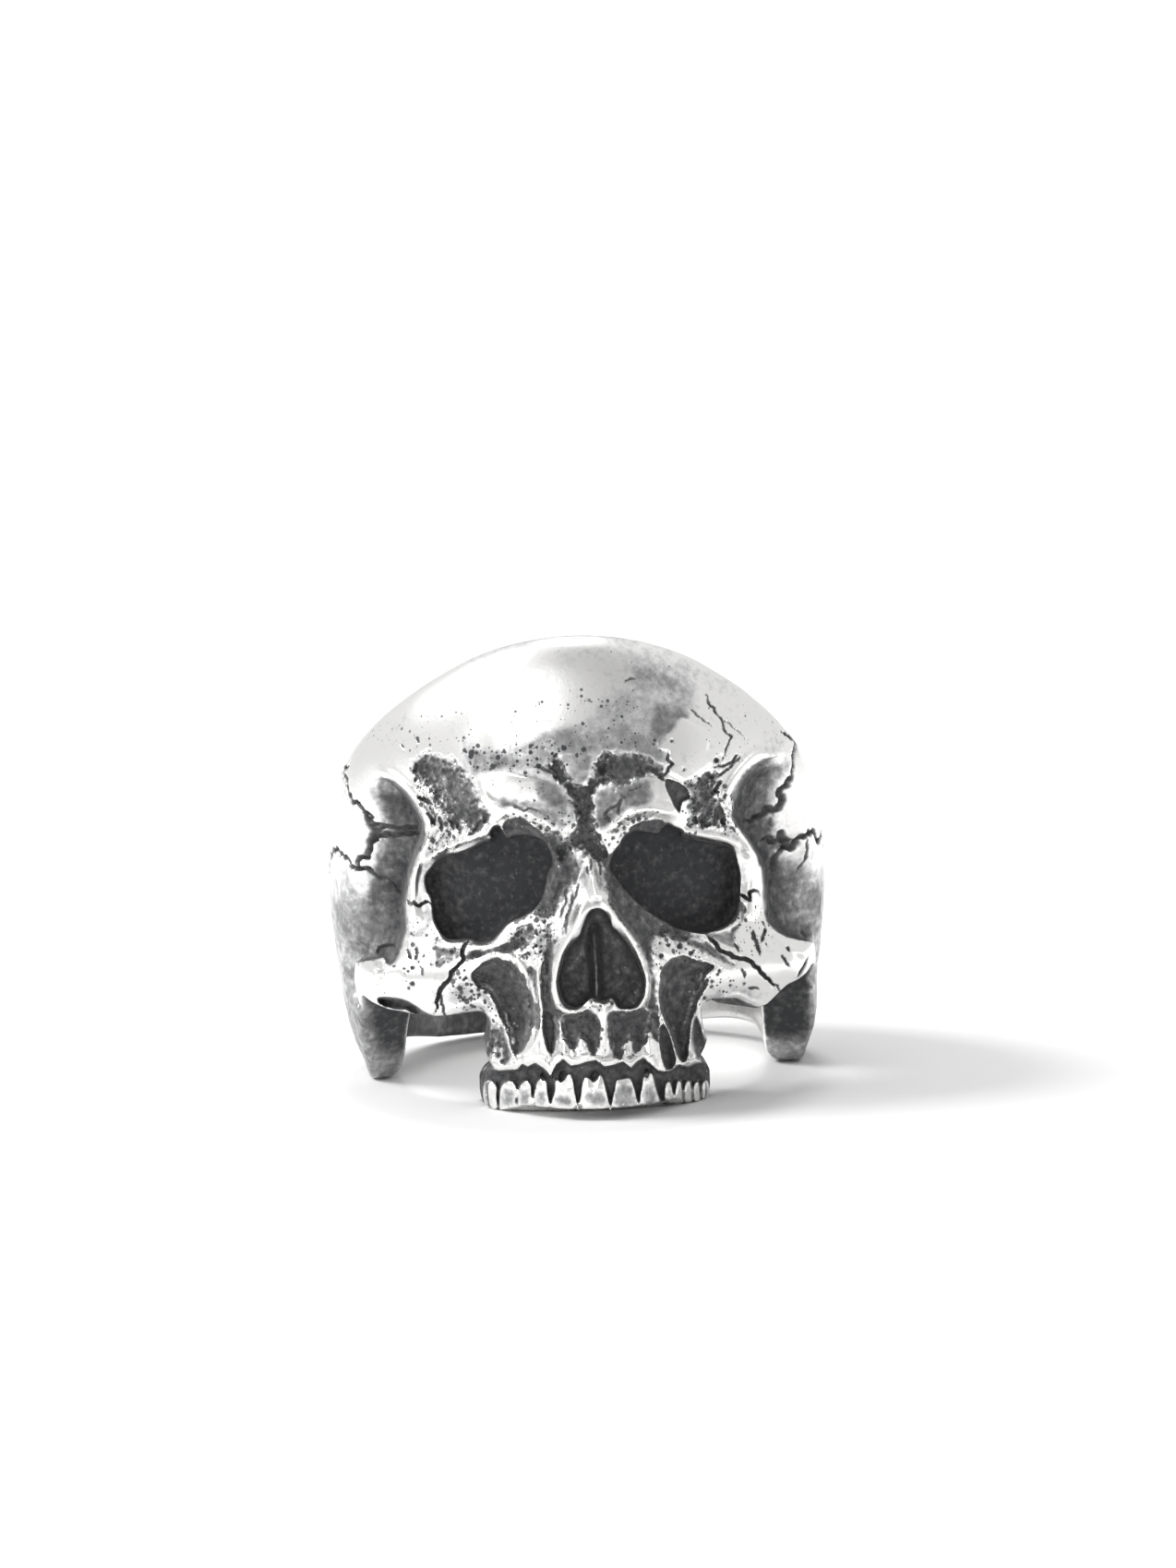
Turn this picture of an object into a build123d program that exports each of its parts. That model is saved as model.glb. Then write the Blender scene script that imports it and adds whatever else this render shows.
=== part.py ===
from build123d import *
import os
import numpy as np

# Skull ring, one casting in silver.  Millimetres, +Z up.
# The ring lies on its side: the finger hole runs straight up, the face looks
# towards -Y, and the teeth and the two lobes behind the jaw stand on the floor.
# The origin is on the axis of the finger hole, at the floor.

# ------------------------------------------------------------ main dimensions
BORE_D = 19.4          # finger hole
CORE_R = 9.0           # inner side of the raw form, bored out afterwards
LINER = 0.75           # wall left behind the deepest hollows
HEIGHT = 24.1          # the rows' own scale, floor to crown
RAISE = 0.34           # from 2 mm up everything stands this much higher than the tables say
ARC_R = 12.9           # radius that bearings are measured on, for outlines

BORE_R = BORE_D / 2
FLOOR_R = BORE_R + LINER

# Outer radius of the casting.  One row for each height, one column for each
# bearing in degrees from the middle of the face, the same on both sides.
BEARINGS = [0, 8, 16, 24, 32, 40, 48, 56, 64, 72, 80, 90, 105, 120, 150, 180]
SECTIONS = {
    # height: radius at each bearing
    0.0: [14.95, 14.60, 13.68, 12.65, 12.10, 12.00, 12.00, 12.00, 12.00, 11.60, 11.45, 11.40, 11.45, 11.50, 11.30, 11.20],
    1.9: [14.90, 14.58, 13.75, 12.75, 12.30, 12.20, 12.20, 12.20, 12.20, 12.15, 12.10, 12.10, 12.10, 12.00, 11.75, 11.65],
    3.5: [14.45, 14.20, 13.60, 12.80, 12.60, 12.60, 12.60, 12.60, 12.60, 12.50, 12.45, 12.45, 12.40, 12.20, 11.90, 11.75],
    5.0: [14.45, 13.95, 13.35, 12.90, 13.00, 13.15, 13.20, 13.20, 13.10, 12.80, 12.65, 12.65, 12.60, 12.40, 11.90, 11.75],
    6.5: [14.60, 14.15, 13.65, 13.35, 13.45, 13.50, 13.35, 13.20, 13.05, 12.85, 12.80, 12.85, 12.75, 12.50, 11.95, 11.80],
    8.0: [14.80, 14.05, 13.40, 13.10, 13.10, 12.95, 12.60, 12.60, 12.70, 12.85, 12.95, 13.00, 12.90, 12.55, 12.00, 11.80],
    9.5: [14.85, 13.70, 12.95, 12.70, 12.50, 12.30, 12.20, 12.40, 12.70, 12.95, 13.05, 13.08, 12.95, 12.60, 12.00, 11.80],
    11.0: [14.30, 13.25, 12.80, 12.60, 12.40, 12.15, 12.10, 12.40, 12.80, 13.00, 13.08, 13.12, 13.00, 12.60, 12.00, 11.80],
    12.5: [13.35, 13.05, 13.00, 12.90, 12.65, 12.30, 12.20, 12.50, 12.85, 13.05, 13.10, 13.12, 13.00, 12.60, 12.00, 11.80],
    14.0: [13.05, 13.35, 13.45, 13.30, 13.00, 12.60, 12.45, 12.60, 12.90, 13.05, 13.10, 13.12, 13.00, 12.60, 12.00, 11.80],
    15.5: [13.40, 13.70, 13.80, 13.65, 13.35, 12.95, 12.80, 12.80, 12.95, 13.05, 13.10, 13.12, 13.00, 12.60, 12.00, 11.80],
    17.0: [13.45, 13.55, 13.60, 13.50, 13.30, 13.10, 13.00, 13.00, 13.00, 13.05, 13.10, 13.12, 13.00, 12.60, 12.00, 11.80],
    18.5: [13.35, 13.40, 13.40, 13.35, 13.25, 13.15, 13.10, 13.05, 13.05, 13.05, 13.10, 13.10, 13.00, 12.60, 12.00, 11.80],
    25.0: [13.25, 13.25, 13.25, 13.20, 13.15, 13.10, 13.10, 13.05, 13.05, 13.05, 13.10, 13.10, 13.00, 12.60, 12.00, 11.80],
}

# Upper edge: the crown falls away to the narrow back of the ring.  The edge is
# a quarter ellipse, as wide and as high as the last two columns say.
CROWN = {
    # bearing: (height of the upper edge, rounding inwards, rounding downwards)
    0: (24.10, 3.20, 8.4), 15: (23.80, 3.20, 8.4), 30: (22.94, 3.10, 8.1), 45: (21.50, 2.90, 7.4),
    60: (19.87, 2.65, 6.4), 75: (18.13, 2.40, 5.4), 90: (16.25, 2.25, 4.6), 105: (14.30, 2.05, 3.8),
    120: (12.55, 1.85, 3.1), 135: (11.10, 1.50, 2.5), 150: (10.05, 1.20, 2.0), 165: (9.40, 1.00, 1.6),
    180: (9.15, 1.00, 1.5),
}
LEAN = 0.034           # the edge stands a little higher on the left, in mm for each mm across

# Lower edge: teeth on the floor, the open space under each cheekbone, the lobe
# on the floor, then the back of the ring just clear of it.
LOWER_EDGE = [
    # bearing: height of the lower edge; left half, right half
    {0: 0.0, 29.0: 0.0, 31.0: 4.76, 32: 4.72, 36: 4.52, 40: 4.38, 45: 4.34, 50: 4.46, 55: 4.44, 60: 4.64, 63.5: 4.95, 66: 4.75,
     68.5: 4.05, 71: 3.3, 73.5: 2.5, 76: 1.55, 78.5: 0.6, 80.5: 0.15, 83: 0.0, 93: 0.0, 97: 0.4, 101: 0.78, 107: 0.95, 118: 0.86,
     126: 0.70, 134: 0.50, 144: 0.36, 156: 0.28, 180: 0.25},
    {0: 0.0, 29.0: 0.0, 31.0: 4.9, 34: 4.86, 38: 4.4, 42: 4.05, 45: 4.1, 48: 4.62, 51: 5.0, 54: 5.05, 59: 5.22, 63: 5.5, 67: 5.5,
     69.5: 4.9, 71.5: 4.1, 74: 3.0, 76: 1.9, 78.5: 0.6, 80.5: 0.15, 83: 0.0, 93: 0.0, 97: 0.4, 101: 0.8, 107: 1.0, 118: 1.0,
     126: 0.95, 134: 0.8, 144: 0.55, 156: 0.35, 180: 0.25},
]

# Hollows in the outer face, each a closed outline of (bearing, height).
EYE_SOCKET = [(6.2, 12.5), (7.5, 13.6), (11.5, 14.2), (17, 14.5), (21, 14.3), (26, 13.5), (32, 13.0), (37, 12.4),
              (41.5, 11.5), (42, 10.5), (40, 9.5), (36, 8.7), (30, 8.5), (25, 8.6), (20, 9.1), (15, 9.7), (10, 10.5)]
NOSE_OPENING = [(0, 10.4), (2.4, 9.9), (4.3, 9.0), (6.5, 8.1), (8.4, 7.2), (9, 6.5), (8.2, 5.7), (6, 5.3), (3.8, 5.4),
                (2, 5.8), (0, 5.8), (-2, 5.8), (-3.8, 5.4), (-6, 5.3), (-8.2, 5.7), (-9, 6.5), (-8.4, 7.2),
                (-6.5, 8.1), (-4.3, 9.0), (-2.4, 9.9)]
CHEEK_HOLLOW = [(13.8, 6.5), (16, 7.4), (20, 7.6), (24, 7.4), (27, 6.9), (25, 6.2), (23.5, 5.4), (22, 4.5),
                (20.5, 3.3), (18.5, 2.8), (16.5, 3.5), (14.6, 4.7)]
TEMPLE_HOLLOW = [(47.5, 16.7), (43.5, 15.1), (43, 13.7), (47.5, 12.5), (51.0, 10.9), (51.5, 9.1), (54, 7.8),
                 (61, 7.4), (68, 7.5), (73, 8.9), (71, 10.9), (64, 12.5), (60, 13.9), (58.5, 15.7), (53, 17.1)]
HOLLOWS = [
    # outline, depth of the floor (None: down to the liner), width of its side
    (EYE_SOCKET, None, 0.55),
    (NOSE_OPENING, None, 0.50),
    (CHEEK_HOLLOW, 0.75, 0.60),
    (TEMPLE_HOLLOW, 1.25, 1.10),
]
TOOTH_GAPS = [0.0, 7.0, 13.5, 18.5, 22.5, 26.0]   # bearings of the gaps
TOOTH_GAP_DEPTH, TOOTH_TOP, GUM_LINE = 0.40, 1.85, 2.60

# Columns of the faceted skin over one half, and its rows by nominal height.
HALF_COLUMNS = [0, 1.1, 3.5, 5.9, 7.0, 8.1, 10.2, 12.4, 13.5, 14.6, 16, 17.4, 18.5, 19.5, 21.5, 22.5, 23.5, 25,
                26, 27, 28.2, 29.0, 31.0, 33, 35, 37, 39, 40.8, 42.2, 43.8, 46, 48, 50, 52, 55, 58, 60,
                62, 64, 66,
                68.5, 71, 73.5, 76, 78.5, 81, 83, 88, 93, 97, 102, 108, 118, 130, 144, 156, 168, 180]
NOMINAL_ROWS = [0, 0.5, 1.1, 1.7, 2.1, 2.4, 2.9, 3.5, 4.2, 4.9, 5.5, 5.9, 6.4, 7.0, 7.6, 8.2, 8.7, 9.3, 10.0, 10.7,
                11.5, 12.3, 13.0, 13.6, 14.2, 14.7, 15.4, 16.2, 17.1, 18.1, 19.3, 20.5, 21.6, 22.6, 23.4, 23.9, 24.1]
WAIST = 6.5            # rows below this height follow the lower edge


def smooth_rows(keys, values, at):
    """Cubic through a table's rows, with a gentle slope at each row."""
    keys, values = np.asarray(keys, float), np.asarray(values, float)
    step = np.diff(keys)
    wide = step if values.ndim == 1 else step[:, None]
    rise = np.diff(values, axis=0) / wide
    slope = np.zeros_like(values)
    slope[1:-1] = (rise[:-1] * wide[1:] + rise[1:] * wide[:-1]) / (wide[1:] + wide[:-1])
    i = int(np.clip(np.searchsorted(keys, at, side="right") - 1, 0, len(keys) - 2))
    t, h = (at - keys[i]) / step[i], step[i]
    return ((2 * t**3 - 3 * t**2 + 1) * values[i] + (t**3 - 2 * t**2 + t) * h * slope[i]
            + (3 * t**2 - 2 * t**3) * values[i + 1] + (t**3 - t**2) * h * slope[i + 1])


HEIGHTS = sorted(SECTIONS)
SECTION_TABLE = [SECTIONS[h] for h in HEIGHTS]
CROWN_KEYS = sorted(CROWN)
CROWN_TABLE = [CROWN[k] for k in CROWN_KEYS]


def crown(bearing):
    """Height of the upper edge, and its rounding inwards and downwards."""
    top, inward, down = smooth_rows(CROWN_KEYS, CROWN_TABLE, abs(bearing))
    return top - LEAN * 12.5 * np.sin(np.radians(bearing)), inward, down


def section_radius(bearing, height):
    row = smooth_rows(HEIGHTS, SECTION_TABLE, min(max(height, 0.0), HEIGHTS[-1]))
    return float(smooth_rows(BEARINGS, row, bearing))


def depth_inside(outline, bearing, height):
    """Distance in mm from a point to an outline's edge, above 0 inside it."""
    pts = [(np.radians(b) * ARC_R, h) for b, h in outline]
    x, y = np.radians(bearing) * ARC_R, height
    nearest, inside = 1e9, False
    for (x1, y1), (x2, y2) in zip(pts, pts[1:] + pts[:1]):
        dx, dy = x2 - x1, y2 - y1
        t = min(max(((x - x1) * dx + (y - y1) * dy) / (dx * dx + dy * dy), 0.0), 1.0)
        nearest = min(nearest, np.hypot(x - x1 - t * dx, y - y1 - t * dy))
        if (y1 > y) != (y2 > y) and x < x1 + (y - y1) * dx / dy:
            inside = not inside
    return nearest if inside else -nearest


def ease(value):
    t = min(max(value, 0.0), 1.0)
    return t * t * (3 - 2 * t)


def skin_radius(signed_bearing, height):
    """Outer radius of the casting at a bearing (-180 to 180) and a height."""
    bearing = abs(signed_bearing)
    radius = section_radius(bearing, height)
    # teeth: gaps between them, and the groove under the gum line
    if bearing < 29.5 and height < GUM_LINE:
        gap = min(abs(bearing - g) for g in TOOTH_GAPS)
        if height < TOOTH_TOP:
            radius -= TOOTH_GAP_DEPTH * ease(1 - gap / 1.05)
        else:
            radius -= TOOTH_GAP_DEPTH * 1.2
    for outline, depth, side in HOLLOWS:
        inside = depth_inside(outline, bearing, height)
        if inside > 0:
            floor = FLOOR_R if depth is None else radius - depth
            radius += (floor - radius) * ease(inside / side)
    # rounded crown
    top, inward, down = crown(signed_bearing)
    rise = (height - (top - down)) / down
    if rise > 0:
        radius -= inward * (1 - np.sqrt(max(0.0, 1 - min(rise, 1.0) ** 2)))
    return max(radius, FLOOR_R)


def raised(height):
    return height + RAISE * ease(height / 2)


def column(bearing):
    """Points (radius, height) of one column, from the bore round to the bore."""
    edge = LOWER_EDGE[0 if bearing < 0 else 1]
    low = float(np.interp(abs(bearing), sorted(edge), [edge[k] for k in sorted(edge)]))
    top = float(crown(bearing)[0])
    pts = [(CORE_R, raised(low))]
    for n in NOMINAL_ROWS:
        h = low + n / WAIST * (WAIST - low) if n < WAIST else WAIST + (n - WAIST) / (HEIGHT - WAIST) * (top - WAIST)
        r = skin_radius(bearing, h)
        if n == 0:
            # the underside's edge is bevelled; the front of the jaw stands clear of the floor
            r = min(r - 0.35, 12.7) if abs(bearing) < 25 else r - 0.35
        pts.append((r, raised(h)))
    pts.append((CORE_R, raised(top) - 0.15))
    return pts


bearings = [-b for b in HALF_COLUMNS[-2:0:-1]] + HALF_COLUMNS
grid = []
for b in bearings:
    a = np.radians(b)
    grid.append([Vector(r * np.sin(a), -r * np.cos(a), h) for r, h in column(b)])

faces = []
columns, rows = len(grid), len(grid[0])
for i in range(columns):
    here, there = grid[i], grid[(i + 1) % columns]
    for j in range(rows):
        k = (j + 1) % rows
        a, b, c, d = here[j], there[j], there[k], here[k]
        if (a - c).length <= (b - d).length:
            corners = ((a, b, c), (a, c, d))
        else:
            corners = ((a, b, d), (b, c, d))
        for tri in corners:
            if (tri[1] - tri[0]).cross(tri[2] - tri[0]).length > 1e-6:
                faces.append(Face(Wire.make_polygon(list(tri), close=True)))

raw = Solid(Shell(faces))
if raw.volume < 0:
    raw = Solid(Shell([-f for f in faces]))
bore = Solid.make_cylinder(BORE_R, 40, Plane((0, 0, -8)))
skull_ring = (raw - bore).solids().sort_by(SortBy.VOLUME)[-1]
skull_ring.label = "skull_ring"

os.makedirs("parts", exist_ok=True)
export_step(skull_ring, "parts/skull_ring.step")
box = skull_ring.bounding_box()
print("centre of mass", skull_ring.center(CenterOf.MASS))
print("skull_ring faces", len(faces), "volume mm3 %.1f" % skull_ring.volume, "valid", skull_ring.is_valid,
      "box", [round(v, 3) for v in (*box.min, *box.max)])
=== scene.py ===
import math

import bpy
import numpy as np
from mathutils import Matrix, Vector


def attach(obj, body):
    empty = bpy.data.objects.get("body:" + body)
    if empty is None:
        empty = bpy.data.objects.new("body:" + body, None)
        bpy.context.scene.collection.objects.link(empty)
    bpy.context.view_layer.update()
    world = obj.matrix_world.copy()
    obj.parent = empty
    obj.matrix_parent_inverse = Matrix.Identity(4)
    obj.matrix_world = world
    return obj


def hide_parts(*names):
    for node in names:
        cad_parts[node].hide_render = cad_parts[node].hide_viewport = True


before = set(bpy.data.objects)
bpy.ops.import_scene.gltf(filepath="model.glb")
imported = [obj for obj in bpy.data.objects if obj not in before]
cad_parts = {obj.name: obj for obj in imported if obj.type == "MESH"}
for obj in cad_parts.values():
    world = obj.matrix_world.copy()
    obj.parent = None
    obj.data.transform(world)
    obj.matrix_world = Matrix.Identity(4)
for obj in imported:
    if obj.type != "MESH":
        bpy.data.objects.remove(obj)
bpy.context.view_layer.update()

# Skull ring in oxidised silver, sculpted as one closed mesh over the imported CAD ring.
# Lengths are in mm and bearings in degrees from the middle of the face; the mesh is
# scaled to metres at the end.  The origin is on the finger hole's axis, at the floor.
# Most of the carving is drawn on a plane that faces the camera, in the frame's own
# units of 1274 x 1699 (x to the right, y down); what goes round to the sides is drawn
# on the unrolled side of the ring.

F4 = np.float32

# ------------------------------------------------------------------ how the ring is seen
TURN, TILT, ROLL = (math.radians(v) for v in (-4.0, 10.9, 1.74))
PX_MM, DISTANCE, AXIS_X, AXIS_Y = 20.4, 400.0, 631.0, 1154.0
RIGHT = np.array([math.cos(TURN), math.sin(TURN), 0.0])
AHEAD = np.array([-math.sin(TURN) * math.cos(TILT), math.cos(TURN) * math.cos(TILT), -math.sin(TILT)])
UP = np.cross(RIGHT, AHEAD)
COS_R, SIN_R = math.cos(ROLL), math.sin(ROLL)


def to_plane(x, y, z):
    """Where a point falls on the face plane."""
    k = DISTANCE / (DISTANCE + x * AHEAD[0] + y * AHEAD[1] + z * AHEAD[2])
    a = (x * RIGHT[0] + y * RIGHT[1]) * k
    b = (x * UP[0] + y * UP[1] + z * UP[2]) * k
    return AXIS_X + PX_MM * (COS_R * a - SIN_R * b), AXIS_Y - PX_MM * (SIN_R * a + COS_R * b)


def to_side(px, py, radius=12.95):
    """Bearing and height where a point of the face plane meets the ring's side."""
    a, b = (px - AXIS_X) / PX_MM, (AXIS_Y - py) / PX_MM
    a, b = COS_R * a + SIN_R * b, COS_R * b - SIN_R * a
    start, way = -AHEAD * DISTANCE, a * RIGHT + b * UP + AHEAD * DISTANCE
    qa, qb, qc = way[0] ** 2 + way[1] ** 2, 2 * (start[0] * way[0] + start[1] * way[1]), start[0] ** 2 + start[1] ** 2 - radius**2
    s = (-qb - math.sqrt(max(qb * qb - 4 * qa * qc, 0.0))) / (2 * qa)
    p = start + s * way
    return math.degrees(math.atan2(p[0], -p[1])), p[2]


# ------------------------------------------------------------------ overall form, as in the CAD
BORE_R = 9.7
RAISE = 0.34           # from 2 mm up everything stands this much higher than the tables below say
BEARINGS = [0, 8, 16, 24, 32, 40, 48, 56, 64, 72, 80, 90, 105, 120, 150, 180]
SECTIONS = {
    # height: outer radius at each bearing, both halves alike
    0.0: [14.95, 14.60, 13.68, 12.65, 12.10, 12.00, 12.00, 12.00, 12.00, 11.60, 11.45, 11.40, 11.45, 11.50, 11.30, 11.20],
    1.9: [14.90, 14.58, 13.75, 12.75, 12.30, 12.20, 12.20, 12.20, 12.20, 12.15, 12.10, 12.10, 12.10, 12.00, 11.75, 11.65],
    3.5: [14.45, 14.20, 13.60, 12.80, 12.60, 12.60, 12.60, 12.60, 12.60, 12.50, 12.45, 12.45, 12.40, 12.20, 11.90, 11.75],
    5.0: [14.45, 13.95, 13.35, 12.90, 13.00, 13.15, 13.20, 13.20, 13.10, 12.80, 12.65, 12.65, 12.60, 12.40, 11.90, 11.75],
    6.5: [14.60, 14.15, 13.65, 13.35, 13.45, 13.50, 13.35, 13.20, 13.05, 12.85, 12.80, 12.85, 12.75, 12.50, 11.95, 11.80],
    8.0: [14.80, 14.05, 13.40, 13.10, 13.10, 12.95, 12.60, 12.60, 12.70, 12.85, 12.95, 13.00, 12.90, 12.55, 12.00, 11.80],
    9.5: [14.85, 13.70, 12.95, 12.70, 12.50, 12.30, 12.20, 12.40, 12.70, 12.95, 13.05, 13.08, 12.95, 12.60, 12.00, 11.80],
    11.0: [14.30, 13.25, 12.80, 12.60, 12.40, 12.15, 12.10, 12.40, 12.80, 13.00, 13.08, 13.12, 13.00, 12.60, 12.00, 11.80],
    12.5: [13.35, 13.05, 13.00, 12.90, 12.65, 12.30, 12.20, 12.50, 12.85, 13.05, 13.10, 13.12, 13.00, 12.60, 12.00, 11.80],
    14.0: [13.05, 13.35, 13.45, 13.30, 13.00, 12.60, 12.45, 12.60, 12.90, 13.05, 13.10, 13.12, 13.00, 12.60, 12.00, 11.80],
    15.5: [13.40, 13.70, 13.80, 13.65, 13.35, 12.95, 12.80, 12.80, 12.95, 13.05, 13.10, 13.12, 13.00, 12.60, 12.00, 11.80],
    17.0: [13.45, 13.55, 13.60, 13.50, 13.30, 13.10, 13.00, 13.00, 13.00, 13.05, 13.10, 13.12, 13.00, 12.60, 12.00, 11.80],
    18.5: [13.35, 13.40, 13.40, 13.35, 13.25, 13.15, 13.10, 13.05, 13.05, 13.05, 13.10, 13.10, 13.00, 12.60, 12.00, 11.80],
    25.0: [13.25, 13.25, 13.25, 13.20, 13.15, 13.10, 13.10, 13.05, 13.05, 13.05, 13.10, 13.10, 13.00, 12.60, 12.00, 11.80],
}
CROWN = {
    # bearing: (height of the upper edge, rounding inwards, rounding downwards)
    0: (24.10, 3.20, 8.4), 15: (23.80, 3.20, 8.4), 30: (22.94, 3.10, 8.1), 45: (21.50, 2.90, 7.4),
    60: (19.87, 2.65, 6.4), 75: (18.13, 2.40, 5.4), 90: (16.25, 2.25, 4.6), 105: (14.30, 2.05, 3.8),
    120: (12.55, 1.85, 3.1), 135: (11.10, 1.50, 2.5), 150: (10.05, 1.20, 2.0), 165: (9.40, 1.00, 1.6),
    180: (9.15, 1.00, 1.5),
}
LEAN = 0.034   # the upper edge stands a little higher on the left, in mm for each mm across
LOWER_EDGE = (
    # bearing: height of the lower edge beside the jaw; left half, right half
    {0: 4.9, 26: 4.75, 28: 4.86, 32: 4.72, 36: 4.52, 40: 4.38, 45: 4.34, 50: 4.46, 55: 4.44, 60: 4.64, 63.5: 4.95, 66: 4.75, 68.5: 4.05, 71: 3.3,
     73.5: 2.5, 76: 1.55, 78.5: 0.6, 80.5: 0.15, 83: 0.0, 93: 0.0, 97: 0.4, 101: 0.78, 107: 0.95, 118: 0.86, 126: 0.70, 134: 0.50, 144: 0.36, 156: 0.28,
     180: 0.25},
    {0: 5.0, 28: 4.95, 34: 4.86, 38: 4.4, 42: 4.05, 45: 4.1, 48: 4.62, 51: 5.0, 54: 5.05, 59: 5.22, 63: 5.5, 67: 5.5, 69.5: 4.9, 71.5: 4.1, 74: 3.0,
     76: 1.9, 78.5: 0.6, 80.5: 0.15, 83: 0.0, 93: 0.0, 97: 0.4, 101: 0.8, 107: 1.0, 118: 1.0, 126: 0.95, 134: 0.8, 144: 0.55, 156: 0.35, 180: 0.25},
)


def smooth_rows(keys, values, at):
    """Cubic through a table's rows, with a gentle slope at each row."""
    keys, values = np.asarray(keys, float), np.asarray(values, float)
    values = values.reshape(len(keys), -1)
    step = np.diff(keys)[:, None]
    rise = np.diff(values, axis=0) / step
    slope = np.zeros_like(values)
    slope[1:-1] = (rise[:-1] * step[1:] + rise[1:] * step[:-1]) / (step[1:] + step[:-1])
    i = np.clip(np.searchsorted(keys, at, side="right") - 1, 0, len(keys) - 2)
    t, h = ((at - keys[i]) / step[i, 0])[:, None], step[i]
    return ((2 * t**3 - 3 * t**2 + 1) * values[i] + (t**3 - 2 * t**2 + t) * h * slope[i]
            + (3 * t**2 - 2 * t**3) * values[i + 1] + (t**3 - t**2) * h * slope[i + 1])


TH = np.arange(0, 180.01, 0.5)
ZZ = np.arange(-1.0, 25.51, 0.1)
_z = np.array(sorted(SECTIONS))
_rows = smooth_rows(_z, [SECTIONS[k] for k in _z], np.clip(ZZ, 0, 25.0))
SKIN = smooth_rows(BEARINGS, _rows.T, TH).T.astype(F4)
_k = np.array(sorted(CROWN), float)
CREST = smooth_rows(_k, [CROWN[k] for k in _k], TH).astype(F4)
EDGE = np.array([np.interp(TH, sorted(e), [e[k] for k in sorted(e)]) for e in LOWER_EDGE]).astype(F4)
for _ in range(3):
    EDGE[:, 1:-1] = (EDGE[:, :-2] + 2 * EDGE[:, 1:-1] + EDGE[:, 2:]) / 4


def look_up(table, at):
    at = np.clip(at, 0, len(table) - 1.001)
    i = at.astype(np.int32)
    f = (at - i).astype(F4)
    return table[i] * (1 - f) + table[i + 1] * f


def look_up2(table, u, v):
    rows, columns = table.shape
    u, v = np.clip(u, 0, columns - 1.001), np.clip(v, 0, rows - 1.001)
    i, j = u.astype(np.int32), v.astype(np.int32)
    fu, fv = (u - i).astype(F4), (v - j).astype(F4)
    return (table[j, i] * (1 - fu) + table[j, i + 1] * fu) * (1 - fv) + (table[j + 1, i] * (1 - fu) + table[j + 1, i + 1] * fu) * fv


# ------------------------------------------------------------------ planes to draw relief on
def lattice(x, y, seed):
    r = np.random.default_rng(seed).random((64, 64), dtype=F4)
    xi, yi = np.floor(x).astype(int), np.floor(y).astype(int)
    fx, fy = (x - xi).astype(F4), (y - yi).astype(F4)
    fx, fy = fx * fx * (3 - 2 * fx), fy * fy * (3 - 2 * fy)
    a, b, c, d = r[yi % 64, xi % 64], r[yi % 64, (xi + 1) % 64], r[(yi + 1) % 64, xi % 64], r[(yi + 1) % 64, (xi + 1) % 64]
    return (a * (1 - fx) + b * fx) * (1 - fy) + (c * (1 - fx) + d * fx) * fy


def cloudy(x, y, seed, octaves=4, gain=0.55):
    total, size, norm = 0, 1, 0
    for k in range(octaves):
        total = total + size * lattice(x * 2**k + 17.3 * k, y * 2**k + 9.1 * k, seed + k)
        norm += size
        size *= gain
    return total / norm * 2 - 1


def ease(t):
    t = np.clip(t, 0, 1)
    return t * t * (3 - 2 * t)


def smooth(points, closed, n=5):
    p = np.asarray(points, float)
    q = np.vstack([p[-1], p, p[0], p[1]]) if closed else np.vstack([2 * p[0] - p[1], p, 2 * p[-1] - p[-2]])
    out = []
    for i in range(1, len(q) - 2):
        p0, p1, p2, p3 = q[i - 1], q[i], q[i + 1], q[i + 2]
        for t in np.arange(n) / n:
            out.append(0.5 * (2 * p1 + (p2 - p0) * t + (2 * p0 - 5 * p1 + 4 * p2 - p3) * t * t + (3 * p1 - p0 - 3 * p2 + p3) * t**3))
    if not closed:
        out.append(q[-2])
    return np.array(out)


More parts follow.
